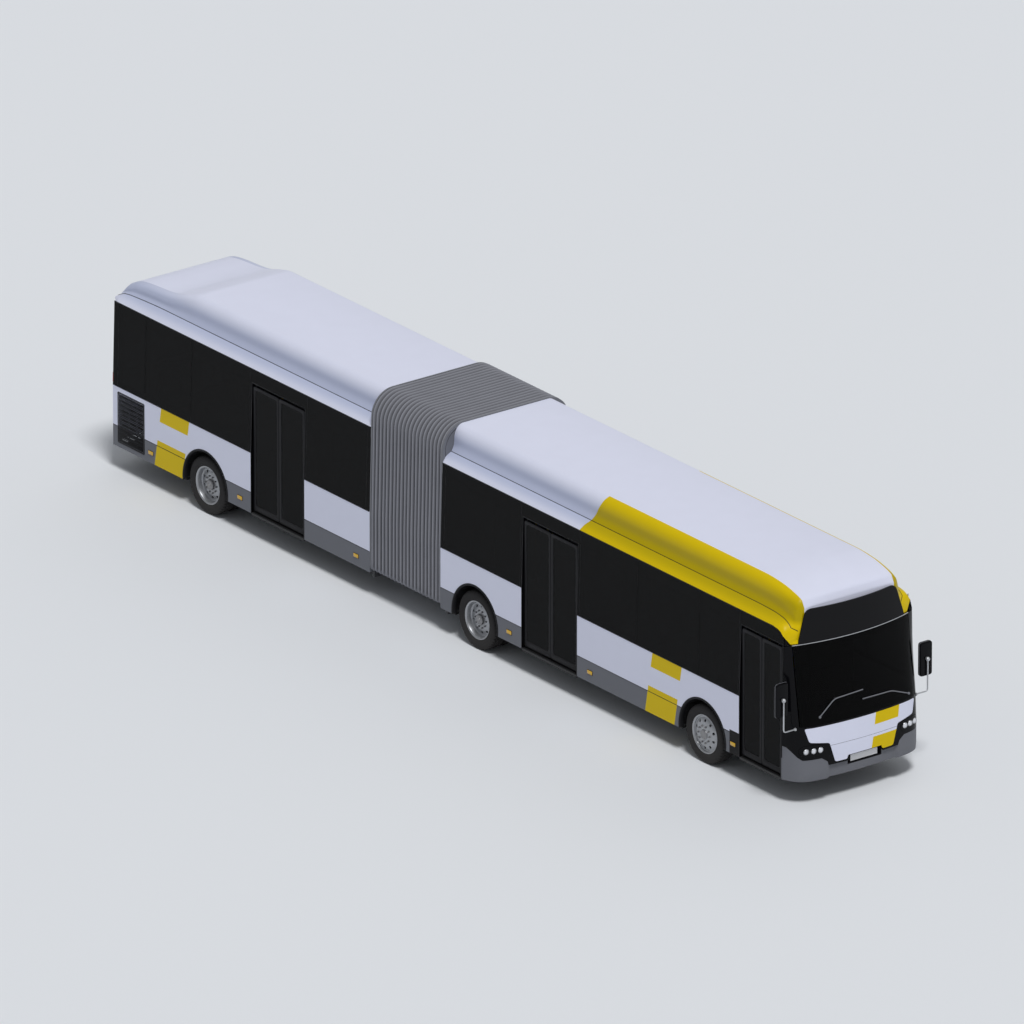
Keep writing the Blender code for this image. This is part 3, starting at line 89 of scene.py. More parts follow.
@dataclass(frozen=True)
class BodyLines:
    """The driving sizes of the bodywork, as the CAD has them."""

    half_w: float = 1.275
    wall: float = 0.06
    lean: float = 0.04
    skirt_z: float = 0.41
    seam_z: float = 0.76
    belt_z: float = 1.44
    gutter_z: float = 2.84
    ceiling_z: float = 2.80
    floor_z: float = 0.425
    deck_z: float = 0.98
    nose_x: float = 8.98
    edge_x: float = 8.54
    rear_edge_x: float = -8.78
    front_rear_x: float = -0.164
    rear_front_x: float = -2.010
    touch: float = 0.0003
    front_face: tuple[Point, ...] = (
        (0.38, 8.960, 0.13), (0.50, 8.980, 0.13), (0.90, 8.975, 0.13), (1.30, 8.950, 0.14), (2.59, 8.760, 0.20),
        (3.20, 8.690, 0.21),
    )
    rear_face: tuple[Pair, ...] = ((0.40, 8.98), (1.30, 8.98), (2.84, 8.90))
    rear_bow: float = 0.05

    def wall_y(self, z: float) -> float:
        """Half width of the body at a height: upright to the belt, then leaning in."""
        if z <= self.belt_z:
            return self.half_w
        return self.half_w - self.lean * (z - self.belt_z) / (self.gutter_z - self.belt_z)

    def front_x(self, y: float, z: float) -> float:
        """Where the front face lies, bowed in plan and leaning back with height."""
        nose, bow = between(self.front_face, z)
        side = min(abs(y) / self.wall_y(z), 1.0)
        return nose - bow * side**2 - (nose - self.edge_x - bow) * side**12

    def rear_x(self, y: float, z: float) -> float:
        """Where the rear face lies, nearly flat with round corners."""
        (tail,) = between(self.rear_face, z)
        side = min(abs(y) / self.wall_y(z), 1.0)
        return -tail + self.rear_bow * side**2 + (tail + self.rear_edge_x - self.rear_bow) * side**14


def between(table: Sequence[Sequence[float]], value: float) -> tuple[float, ...]:
    """Reads a table by its first column, with straight lines between its rows.

    Args:
        table: rows that rise in their first column.
        value: the place to read at.

    Returns:
        The other columns at that place.
    """
    if value <= table[0][0]:
        return tuple(table[0][1:])
    for low, high in zip(table, table[1:]):
        if value <= high[0]:
            share = (value - low[0]) / (high[0] - low[0])
            return tuple(a + (b - a) * share for a, b in zip(low[1:], high[1:]))
    return tuple(table[-1][1:])


BODY = BodyLines()
AXLES = {"front": 6.538, "middle": 0.7235, "rear": -6.326}
DOORWAYS = {"front_door": (7.472, 8.505), "middle_door": (1.936, 3.333), "rear_door": (-5.110, -3.730)}
TYRE_R = 0.479


# Modelling helpers


def deselect_all() -> None:
    """Leaves nothing selected, so that an operator acts on the new piece alone."""
    for item in list(bpy.context.selected_objects):
        item.select_set(False)


def focus(*pieces: bpy.types.Object) -> None:
    """Selects these pieces alone and makes the first one active."""
    deselect_all()
    for piece in pieces:
        piece.select_set(True)
    bpy.context.view_layer.objects.active = pieces[0]


def edit_all(piece: bpy.types.Object, *steps: Callable[[], object]) -> bpy.types.Object:
    """Runs edit mode operators on the whole of a piece.

    Args:
        piece: the mesh object.
        steps: calls that act on everything selected.

    Returns:
        The piece, back in object mode.
    """
    focus(piece)
    bpy.ops.object.mode_set(mode="EDIT")
    bpy.ops.mesh.select_all(action="SELECT")
    for step in steps:
        step()
    bpy.ops.object.mode_set(mode="OBJECT")
    return piece


def shaped_grid(name: str, rows: Sequence[Sequence[Point]], ring: bool = False, capped: bool = False,
                looped: bool = False) -> bpy.types.Object:
    """Starts from a grid primitive and lays its vertices on rows of points.

    Args:
        name: the piece's name.
        rows: rows of equally many points.
        ring: whether each row closes on itself.
        capped: whether the open ends get a face.
        looped: whether the last row closes on the first.

    Returns:
        The new piece, with its normals outward.
    """
    laid = [list(row) + ([row[0]] if ring else []) for row in rows]
    if looped:
        laid.append(list(laid[0]))
    deselect_all()
    bpy.ops.mesh.primitive_grid_add(x_subdivisions=len(laid[0]) - 1, y_subdivisions=len(laid) - 1, size=1.0)
    piece = named(name)
    piece.data.vertices.foreach_set("co", [value for row in laid for point in row for value in point])
    piece.data.update()
    steps = [lambda: bpy.ops.mesh.remove_doubles(threshold=1e-5)]
    if capped:
        steps += [
            lambda: bpy.ops.mesh.select_all(action="DESELECT"),
            lambda: bpy.ops.mesh.select_non_manifold(extend=False),
            lambda: bpy.ops.mesh.fill_holes(sides=0),
            lambda: bpy.ops.mesh.select_all(action="SELECT"),
        ]
    steps.append(lambda: bpy.ops.mesh.normals_make_consistent(inside=False))
    return edit_all(piece, *steps)


def prism(name: str, outline: Sequence[Pair], axis: str, low: float, high: float) -> bpy.types.Object:
    """Fills a circle primitive laid on an outline and extrudes it along an axis.

    Args:
        name: the piece's name.
        outline: points of the face; the two coordinates other than the axis, in X, Y, Z order.
        axis: X, Y or Z.
        low: where the extrusion starts.
        high: where it ends.

    Returns:
        The closed prism.
    """
    def at(point: Pair, depth: float) -> Point:
        return {"X": (depth, *point), "Y": (point[0], depth, point[1]), "Z": (*point, depth)}[axis]

    deselect_all()
    bpy.ops.mesh.primitive_circle_add(vertices=len(outline), radius=1.0, fill_type="NGON")
    piece = named(name)
    for vertex, point in zip(piece.data.vertices, outline):
        vertex.co = at(point, low)
    move = tuple(b - a for a, b in zip(at((0.0, 0.0), low), at((0.0, 0.0), high)))
    return edit_all(
        piece,
        lambda: bpy.ops.mesh.extrude_region_move(TRANSFORM_OT_translate={"value": move}),
        lambda: bpy.ops.mesh.select_all(action="SELECT"),
        lambda: bpy.ops.mesh.normals_make_consistent(inside=False),
    )


def block(name: str, low: Point, high: Point) -> bpy.types.Object:
    """A cube primitive at its size and place, as the start of a piece."""
    deselect_all()
    middle = [(a + b) / 2 for a, b in zip(low, high)]
    bpy.ops.mesh.primitive_cube_add(size=1.0, location=middle, scale=[b - a for a, b in zip(low, high)])
    return settle(named(name))


def drum(name: str, middle: Point, axis: str, radius: float, length: float,
         sides: int = 24) -> bpy.types.Object:
    """A cylinder primitive about a middle point, as the start of a piece."""
    turn = {"X": (0.0, pi / 2, 0.0), "Y": (pi / 2, 0.0, 0.0), "Z": (0.0, 0.0, 0.0)}[axis]
    deselect_all()
    bpy.ops.mesh.primitive_cylinder_add(vertices=sides, radius=radius, depth=length, location=middle,
                                        rotation=turn)
    return settle(named(name))


def named(name: str) -> bpy.types.Object:
    """The object that an operator has just added, under its name."""
    piece = bpy.context.object
    piece.name = name
    piece.data.name = name
    return piece


def settle(piece: bpy.types.Object) -> bpy.types.Object:
    """Puts a piece's place, turn and scale into its mesh."""
    focus(piece)
    bpy.ops.object.transform_apply(location=True, rotation=True, scale=True)
    return piece


def joined(name: str, pieces: Sequence[bpy.types.Object]) -> bpy.types.Object:
    """Joins pieces into one object under a new name."""
    focus(*pieces)
    bpy.ops.object.join()
    pieces[0].name = name
    pieces[0].data.name = name
    return pieces[0]


def repeated(piece: bpy.types.Object, places: Iterable[Matrix], name: str) -> bpy.types.Object:
    """Copies a modelled piece to each place, each copy with its own mesh, and joins them.

    Args:
        piece: the piece as modelled once.
        places: matrices that carry the piece to each place.
        name: the joined piece's name.

    Returns:
        The joined copies; the first model is removed.
    """
    copies = []
    for place in places:
        copy = bpy.data.objects.new(name, piece.data.copy())
        bpy.context.scene.collection.objects.link(copy)
        copy.data.transform(place)
        if place.determinant() < 0:
            copy.data.flip_normals()
        copies.append(copy)
    bpy.data.objects.remove(piece)
    return joined(name, copies)


def modified(piece: bpy.types.Object, kind: str, **settings: object) -> bpy.types.Object:
    """Adds a modifier with these settings and applies it."""
    focus(piece)
    modifier = piece.modifiers.new(kind.title(), kind)
    for key, value in settings.items():
        setattr(modifier, key, value)
    bpy.ops.object.modifier_apply(modifier=modifier.name)
    return piece


def rounded(piece: bpy.types.Object, width: float, segments: int = 2,
            angle: float = 35.0) -> bpy.types.Object:
    """Bevels a piece's sharp edges and shades it smooth."""
    modified(piece, "BEVEL", width=width, segments=segments, limit_method="ANGLE", angle_limit=radians(angle),
             use_clamp_overlap=True)
    return smooth(piece)


def smooth(piece: bpy.types.Object, angle: float = 40.0) -> bpy.types.Object:
    """Shades a piece smooth, with edges sharper than an angle kept."""
    focus(piece)
    bpy.ops.object.shade_smooth_by_angle(angle=radians(angle))
    return piece


def carved(piece: bpy.types.Object, tool: bpy.types.Object,
           operation: str = "DIFFERENCE") -> bpy.types.Object:
    """Cuts a piece with a tool, or keeps what they share, and removes the tool."""
    modified(piece, "BOOLEAN", operation=operation, object=tool, solver="EXACT")
    bpy.data.objects.remove(tool)
    return piece


def cad_copy(node: str, name: str) -> bpy.types.Object:
    """A merged copy of a CAD node's mesh, with flat faces made whole, as the start of a finer piece."""
    copy = bpy.data.objects.new(name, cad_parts[node].data.copy())
    copy.data.name = name
    copy.data.materials.clear()
    bpy.context.scene.collection.objects.link(copy)
    return edit_all(
        copy,
        lambda: bpy.ops.mesh.remove_doubles(threshold=1e-5),
        lambda: bpy.ops.mesh.dissolve_limited(angle_limit=radians(0.5)),
    )


def arc(middle: Pair, radius: float, start: float, end: float, steps: int) -> list[Pair]:
    """Points of an arc, in degrees, both ends included."""
    angles = [radians(start + (end - start) * i / steps) for i in range(steps + 1)]
    return [(middle[0] + radius * cos(angle), middle[1] + radius * sin(angle)) for angle in angles]


def round_corners(outline: Sequence[Pair], radius: float, steps: int = 4) -> list[Pair]:
    """Rounds each corner of an outline by a short curve.

    Args:
        outline: corner points.
        radius: how far along its edges each corner is cut, at most.
        steps: how many pieces each curve has.

    Returns:
        The rounded outline.
    """
    points: list[Pair] = []
    for i, corner in enumerate(outline):
        before = Vector(outline[i - 1]) - Vector(corner)
        after = Vector(outline[(i + 1) % len(outline)]) - Vector(corner)
        reach = min(radius, before.length * 0.45, after.length * 0.45)
        start = Vector(corner) + before.normalized() * reach
        end = Vector(corner) + after.normalized() * reach
        for k in range(steps + 1):
            t = k / steps
            spot = (1 - t) ** 2 * start + 2 * t * (1 - t) * Vector(corner) + t * t * end
            points.append((spot.x, spot.y))
    return points


def rectangle(low: Pair, high: Pair) -> list[Pair]:
    """The four corners between two opposite ones."""
    return [low, (high[0], low[1]), high, (low[0], high[1])]


def eased(places: Sequence[float], values: Sequence[Sequence[float]],
          wanted: Sequence[float]) -> list[list[float]]:
    """Runs smooth curves through rows of values without overshooting them.

    Args:
        places: the rows' rising places.
        values: one row of values for each place.
        wanted: the places to read at.

    Returns:
        One row of values for each wanted place.
    """
    spans = [b - a for a, b in zip(places, places[1:])]
    columns = list(zip(*values))
    slopes = []
    for column in columns:
        rises = [(b - a) / span for a, b, span in zip(column, column[1:], spans)]
        line = [rises[0]]
        for i in range(1, len(rises)):
            first, second = rises[i - 1], rises[i]
            if first * second <= 0:
                line.append(0.0)
            else:
                heavy = 2 * spans[i] + spans[i - 1]
                light = spans[i] + 2 * spans[i - 1]
                line.append((heavy + light) / (heavy / first + light / second))
        line.append(rises[-1])
        slopes.append(line)
    rows = []
    for place in wanted:
        i = max(0, min(len(spans) - 1, sum(1 for p in places[1:-1] if p <= place)))
        t = (place - places[i]) / spans[i]
        start, lead = 2 * t**3 - 3 * t**2 + 1, t**3 - 2 * t**2 + t
        finish, tail = 3 * t**2 - 2 * t**3, t**3 - t**2
        rows.append([
            start * column[i] + lead * spans[i] * line[i]
            + finish * column[i + 1] + tail * spans[i] * line[i + 1]
            for column, line in zip(columns, slopes)
        ])
    return rows


def spread(low: float, high: float, step: float) -> list[float]:
    """Even places from low to high, no further apart than a step."""
    count = max(1, round((high - low) / step))
    return [low + (high - low) * i / count for i in range(count + 1)]


def even(low: float, high: float, count: int) -> list[float]:
    """Even places from low to high, in so many steps."""
    return [low + (high - low) * i / count for i in range(count + 1)]


# Shader helpers


class NodeBench:
    """A node tree with short calls for adding and linking its nodes."""

    def __init__(self, tree: bpy.types.NodeTree) -> None:
        """Keeps the tree to work on."""
        self.tree = tree

    def add(self, kind: str, inputs: dict[int | str, object] | None = None,
            **settings: object) -> bpy.types.Node:
        """Adds a node.

        Args:
            kind: the node's type name.
            inputs: a value or an output socket for each input.
            settings: the node's own properties.

        Returns:
            The node.
        """
        node = self.tree.nodes.new(kind)
        for key, value in settings.items():
            setattr(node, key, value)
        for key, value in (inputs or {}).items():
            if isinstance(value, bpy.types.NodeSocket):
                self.tree.links.new(value, node.inputs[key])
            else:
                node.inputs[key].default_value = value
        return node

    def math(self, operation: str, first: object, second: object = 0.0,
             third: object = 0.0) -> bpy.types.NodeSocket:
        """One sum; each input is a number or a socket."""
        inputs = {0: first, 1: second, 2: third}
        return self.add("ShaderNodeMath", inputs, operation=operation).outputs[0]

    def mix(self, factor: object, first: object, second: object) -> bpy.types.NodeSocket:
        """A mix of two colours by a mask."""
        inputs = {"Factor": factor, 6: rgba(first), 7: rgba(second)}
        return self.add("ShaderNodeMix", inputs, data_type="RGBA").outputs[2]

    def place(self) -> tuple[bpy.types.NodeSocket, ...]:
        """The X, Y and Z of the spot on the piece."""
        spot = self.add("ShaderNodeTexCoord").outputs["Object"]
        parts = self.add("ShaderNodeSeparateXYZ", {0: spot})
        return tuple(parts.outputs[axis] for axis in "XYZ")

    def within(self, value: bpy.types.NodeSocket, limits: Pair) -> bpy.types.NodeSocket:
        """A mask that is 1 where a value lies between two limits."""
        return self.group(EFFECTS.band, Value=value, Low=limits[0], High=limits[1]).outputs[0]

    def group(self, tree: bpy.types.NodeTree, **inputs: object) -> bpy.types.Node:
        """Places a node group; an underscore in an input's name stands for a space."""
        node = self.add("ShaderNodeGroup", node_tree=tree)
        for key, value in inputs.items():
            socket = node.inputs[key.replace("_", " ")]
            if isinstance(value, bpy.types.NodeSocket):
                self.tree.links.new(value, socket)
            else:
                socket.default_value = value
        return node


def rgba(value: object) -> object:
    """A colour with its alpha, or the socket as it is."""
    if isinstance(value, bpy.types.NodeSocket):
        return value
    return (*value, 1.0)


def new_group(name: str, inputs: dict[str, float],
              outputs: Sequence[str]) -> tuple[bpy.types.NodeTree, NodeBench]:
    """Starts a shader node group with number inputs and outputs.

    Args:
        name: the group's name.
        inputs: each input's name and default.
        outputs: the outputs' names.

    Returns:
        The group and a bench to build it on.
    """
    tree = bpy.data.node_groups.new(name, "ShaderNodeTree")
    for key, value in inputs.items():
        socket = tree.interface.new_socket(key, in_out="INPUT", socket_type="NodeSocketFloat")
        socket.default_value = value
    for key in outputs:
        tree.interface.new_socket(key, in_out="OUTPUT", socket_type="NodeSocketFloat")
    return tree, NodeBench(tree)


class SurfaceEffects:
    """The node groups that more than one finish uses."""

    def __init__(self) -> None:
        """Builds each group once."""
        self.band = self.build_band()
        self.soil = self.build_soil()
        self.grain = self.build_grain()

    def build_band(self) -> bpy.types.NodeTree:
        """A mask that is 1 where a value lies between two others."""
        tree, bench = new_group("band_mask", {"Value": 0.0, "Low": 0.0, "High": 1.0}, ["Mask"])
        start = bench.add("NodeGroupInput")
        above = bench.math("GREATER_THAN", start.outputs["Value"], start.outputs["Low"])
        below = bench.math("LESS_THAN", start.outputs["Value"], start.outputs["High"])
        bench.add("NodeGroupOutput", {"Mask": bench.math("MULTIPLY", above, below)})
        return tree

    def build_soil(self) -> bpy.types.NodeTree:
        """Road dust that thins out with height, broken up by soft noise."""
        tree, bench = new_group("road_dust", {"Reach": 1.2, "Strength": 0.3}, ["Dust"])
        start = bench.add("NodeGroupInput")
        spot = bench.add("ShaderNodeTexCoord").outputs["Object"]
        height = bench.add("ShaderNodeSeparateXYZ", {0: spot}).outputs["Z"]
        share = bench.math("DIVIDE", height, start.outputs["Reach"])
        low = bench.add("ShaderNodeClamp", {0: bench.math("SUBTRACT", 1.0, share)}).outputs[0]
        stretched = bench.add("ShaderNodeMapping", {"Vector": spot, "Scale": (1.4, 1.4, 5.0)}).outputs[0]
        noise = bench.add("ShaderNodeTexNoise", {"Vector": stretched, "Scale": 2.2, "Detail": 6.0,
                                                 "Roughness": 0.62})
        patch = bench.math("MULTIPLY", noise.outputs[0], bench.math("MULTIPLY", low, low))
        bench.add("NodeGroupOutput", {"Dust": bench.math("MULTIPLY", patch, start.outputs["Strength"])})
        return tree

    def build_grain(self) -> bpy.types.NodeTree:
        """A fine height and a soft tone that varies over a surface."""
        tree, bench = new_group("fine_grain", {"Scale": 120.0, "Tone Scale": 3.0, "Tone Depth": 0.08},
                                ["Height", "Tone"])
        start = bench.add("NodeGroupInput")
        spot = bench.add("ShaderNodeTexCoord").outputs["Object"]
        fine = bench.add("ShaderNodeTexNoise", {"Vector": spot, "Scale": start.outputs["Scale"],
                                                "Detail": 3.0})
        slow = bench.add("ShaderNodeTexNoise", {"Vector": spot, "Scale": start.outputs["Tone Scale"],
                                                "Detail": 5.0})
        swing = bench.math("MULTIPLY", bench.math("SUBTRACT", slow.outputs[0], 0.5), start.outputs["Tone Depth"])
        tone = bench.math("ADD", 1.0, bench.math("MULTIPLY", swing, 2.0))
        bench.add("NodeGroupOutput", {"Height": fine.outputs[0], "Tone": tone})
        return tree


EFFECTS = SurfaceEffects()
DUST_COLOUR: Colour = (0.30, 0.27, 0.23)


@dataclass(frozen=True)
class Finish:
    """One surface: its colour and gloss, its grain, and how much road dust lies on it."""

    name: str
    colour: Colour
    roughness: float
    metallic: float = 0.0
    coat: float = 0.0
    grain_scale: float = 160.0
    grain_depth: float = 0.02
    grain_size: float = 0.001
    tone_scale: float = 3.0
    tone_depth: float = 0.06
    dust: float = 0.25
    dust_reach: float = 1.2
    sheen: float = 0.0
    specular: float = 0.5
    see_through: float = 0.0
    ior: float = 1.5

    def material(self) -> bpy.types.Material:
        """The material of this finish, made once."""
        known = bpy.data.materials.get(self.name)
        return known if known else self.build()

    def colour_socket(self, bench: NodeBench) -> object:
        """The bare colour, before tone and dust."""
        return self.colour

    def height_socket(self, bench: NodeBench, grain: bpy.types.Node) -> bpy.types.NodeSocket:
        """The height that the bump reads."""
        return grain.outputs["Height"]

    def build(self) -> bpy.types.Material:
        """Builds the node tree of this finish.

        Returns:
            The new material.
        """
        material = bpy.data.materials.new(self.name)
        material.use_nodes = True
        bench = NodeBench(material.node_tree)
        shader = material.node_tree.nodes["Principled BSDF"]
        grain = bench.group(EFFECTS.grain, Scale=self.grain_scale, Tone_Scale=self.tone_scale,
                            Tone_Depth=self.tone_depth)
        dust = bench.group(EFFECTS.soil, Reach=self.dust_reach, Strength=self.dust).outputs["Dust"]
        toned = bench.add("ShaderNodeHueSaturation", {"Value": grain.outputs["Tone"],
                                                      "Color": rgba(self.colour_socket(bench))})
        colour = bench.mix(dust, toned.outputs[0], DUST_COLOUR)
        bump = bench.add("ShaderNodeBump", {"Strength": self.grain_depth, "Distance": self.grain_size,
                                            "Height": self.height_socket(bench, grain)})
        rough = bench.math("ADD", self.roughness, bench.math("MULTIPLY", dust, 0.5))
        swing = bench.math("SUBTRACT", grain.outputs["Tone"], 1.0)
        rough = bench.math("ADD", rough, bench.math("MULTIPLY", swing, 0.6))
        links = material.node_tree.links
        links.new(colour, shader.inputs["Base Color"])
        links.new(rough, shader.inputs["Roughness"])
        links.new(bump.outputs[0], shader.inputs["Normal"])
        shader.inputs["Metallic"].default_value = self.metallic
        shader.inputs["Coat Weight"].default_value = self.coat
        shader.inputs["Coat Roughness"].default_value = 0.08
        shader.inputs["Sheen Weight"].default_value = self.sheen
        shader.inputs["Specular IOR Level"].default_value = self.specular
        shader.inputs["Transmission Weight"].default_value = self.see_through
        shader.inputs["IOR"].default_value = self.ior
        return material


@dataclass(frozen=True)
class LiveryFinish(Finish):
    """Body paint in colour blocks: white over a grey skirt, a black window band and yellow blocks."""

    grey: Colour = GREY
    black: Colour = (0.004, 0.004, 0.005)
    yellow: Colour = YELLOW
    inside: Colour = (0.42, 0.43, 0.45)
    slant: float = 0.18
    block_starts: tuple[float, ...] = (-7.49, 5.27)
    block_length: float = 0.745
    lower_block: Pair = (0.40, 0.857)
    upper_block: Pair = (1.185, 1.44)
    dark_panel: Pair = (7.22, 7.48)
    dark_panel_z: float = 0.80
    jamb: float = 0.004
    corner_x: float = 8.50

    def colour_socket(self, bench: NodeBench) -> bpy.types.NodeSocket:
        """The colour blocks, from the place on the body."""
        x, y, z = bench.place()
        upper = bench.math("GREATER_THAN", z, BODY.seam_z)
        colour = bench.mix(upper, self.grey, self.colour)
        rise = bench.math("SUBTRACT", z, BODY.belt_z)
        shifted = bench.math("SUBTRACT", x, bench.math("MULTIPLY", rise, self.slant))
        along = None
        for start in self.block_starts:
            part = bench.within(shifted, (start, start + self.block_length))
            along = part if along is None else bench.math("MAXIMUM", along, part)
        low = bench.within(z, self.lower_block)
        high = bench.within(z, self.upper_block)
        blocks = bench.math("MULTIPLY", along, bench.math("MAXIMUM", low, high))
        colour = bench.mix(blocks, colour, self.yellow)
        dark = bench.within(x, self.dark_panel)
        dark = bench.math("MULTIPLY", dark, bench.math("LESS_THAN", z, self.dark_panel_z))
        right = bench.math("LESS_THAN", y, 0.0)
        for start, end in DOORWAYS.values():
            jamb = bench.within(x, (start - self.jamb, end + self.jamb))
            dark = bench.math("MAXIMUM", dark, jamb)
        corner = bench.math("MULTIPLY", bench.math("GREATER_THAN", x, self.corner_x), upper)
        dark = bench.math("MAXIMUM", dark, corner)
        colour = bench.mix(bench.math("MULTIPLY", dark, right), colour, self.black)
        band = bench.math("GREATER_THAN", z, BODY.belt_z)
        colour = bench.mix(band, colour, self.black)
        inner = bench.math("LESS_THAN", bench.math("ABSOLUTE", y), BODY.half_w - BODY.wall - 0.001)
        plain = bench.math("MULTIPLY", inner, bench.math("SUBTRACT", 1.0, band))
        return bench.mix(plain, colour, self.inside)


@dataclass(frozen=True)
class RoofFinish(Finish):
    """Roof paint: white, with the yellow band along the front's edges, a plain ceiling, and painted blue-grey shade
    in the coves along both edges.
    """

    yellow: Colour = YELLOW
    inside: Colour = (0.45, 0.46, 0.48)
    band_x: float = 3.35
    slope: float = 0.52
    edge_y: float = 0.868
    # The coves' painted shade: the heights where it fades in and out, its strength and its blue-grey tint.
    cove_painted_shade_z: tuple[float, float, float, float] = (2.86, 2.98, 3.14, 3.36)
    shade_depth: float = 0.55
    shade_tint: Colour = (0.40, 0.46, 0.58)

    def colour_socket(self, bench: NodeBench) -> bpy.types.NodeSocket:
        """White or yellow, from the place on the roof, with painted shade darkening the edge coves."""
        x, y, z = bench.place()
        start = bench.math("MULTIPLY_ADD", bench.math("SUBTRACT", z, BODY.gutter_z), self.slope, self.band_x)
        ahead = bench.math("GREATER_THAN", x, start)
        edge = bench.math("GREATER_THAN", bench.math("ABSOLUTE", y), self.edge_y)
        painted = bench.mix(bench.math("MULTIPLY", ahead, edge), self.colour, self.yellow)
        # Painted shade: the coves outboard of the flat top are darkened towards a blue-grey tint by height.
        ramp = bench.add("ShaderNodeMapRange", {"Value": z, 1: self.cove_painted_shade_z[0], 2: self.cove_painted_shade_z[1]},
                         interpolation_type="SMOOTHSTEP").outputs[0]
        fade = bench.add("ShaderNodeMapRange", {"Value": z, 1: self.cove_painted_shade_z[2], 2: self.cove_painted_shade_z[3]},
                         interpolation_type="SMOOTHSTEP").outputs[0]
        painted_shade_mask = bench.math("MULTIPLY", ramp, bench.math("SUBTRACT", 1.0, fade))
        painted_shade_mask = bench.math("MULTIPLY", painted_shade_mask, bench.math("MULTIPLY", edge, self.shade_depth))
        return bench.add("ShaderNodeMix", {"Factor": painted_shade_mask, 6: painted, 7: rgba(self.shade_tint)},
                         data_type="RGBA", blend_type="MULTIPLY").outputs[2]


@dataclass(frozen=True)
class FrontPanelFinish(Finish):
    """The white front panel with its two yellow blocks."""

    yellow: Colour = YELLOW
    slant: float = 0.18
    foot_z: float = 0.65
    block: Pair = (0.115, 0.600)
    lower: Pair = (0.60, 0.895)
    upper: Pair = (1.085, 1.40)

    def colour_socket(self, bench: NodeBench) -> bpy.types.NodeSocket:
        """White or yellow, from the place on the panel."""
        _, y, z = bench.place()
        rise = bench.math("SUBTRACT", z, self.foot_z)
        shifted = bench.math("SUBTRACT", y, bench.math("MULTIPLY", rise, self.slant))
        across = bench.within(shifted, self.block)
        low = bench.within(z, self.lower)
        high = bench.within(z, self.upper)
        blocks = bench.math("MULTIPLY", across, bench.math("MAXIMUM", low, high))
        return bench.mix(blocks, self.colour, self.yellow)


@dataclass(frozen=True)
class ClothFinish(Finish):
    """Woven or coated cloth, with crossing threads at a real pitch."""

    thread: float = 0.002

    def height_socket(self, bench: NodeBench, grain: bpy.types.Node) -> bpy.types.NodeSocket:
        """The height of crossing threads."""
        spot = bench.add("ShaderNodeTexCoord").outputs["Object"]
        waves = [
            bench.add("ShaderNodeTexWave", {"Vector": spot, "Scale": 0.31 / self.thread},
                      bands_direction=axis,
                      wave_type="BANDS").outputs["Fac"]
            for axis in ("X", "Z", "Y")
        ]
        crossed = bench.math("MAXIMUM", waves[0], bench.math("MAXIMUM", waves[1], waves[2]))
        return bench.math("MULTIPLY_ADD", grain.outputs["Height"], 0.4, crossed)


@dataclass(frozen=True)
class FoldFinish(ClothFinish):
    """Pleated cloth with painted shade down in its folds."""

    valley: Colour = (0.060, 0.061, 0.068)

    def colour_socket(self, bench: NodeBench) -> bpy.types.NodeSocket:
        """Ridge colour to the painted shade in the folds, by the depth kept on the mesh."""
        # Painted shade: the cloth darkens with the depth of its folds.
        depth = bench.add("ShaderNodeAttribute", attribute_name="fold_depth").outputs["Fac"]
        return bench.mix(depth, self.colour, self.valley)


@dataclass(frozen=True)
class FloorFinish(Finish):
    """Floor vinyl, with a dark coat on the underside and inside the wheel arches."""

    under: Colour = (0.012, 0.012, 0.013)
    under_z: float = 0.4245
    arch_reach: float = 0.587
    box_y: float = 0.715

    def colour_socket(self, bench: NodeBench) -> bpy.types.NodeSocket:
        """Vinyl or underside, from the place on the floor."""
        x, y, z = bench.place()
        dark = bench.math("LESS_THAN", z, self.under_z)
        aside = bench.math("GREATER_THAN", bench.math("ABSOLUTE", y), self.box_y)
        for axle in AXLES.values():
            along = bench.math("SUBTRACT", x, axle)
            up = bench.math("SUBTRACT", z, TYRE_R)
            reach = bench.math("SQRT", bench.math("MULTIPLY_ADD", along, along, bench.math("MULTIPLY", up, up)))
            inside = bench.math("MULTIPLY", aside, bench.math("LESS_THAN", reach, self.arch_reach))
            dark = bench.math("MAXIMUM", dark, inside)
        return bench.mix(dark, self.colour, self.under)


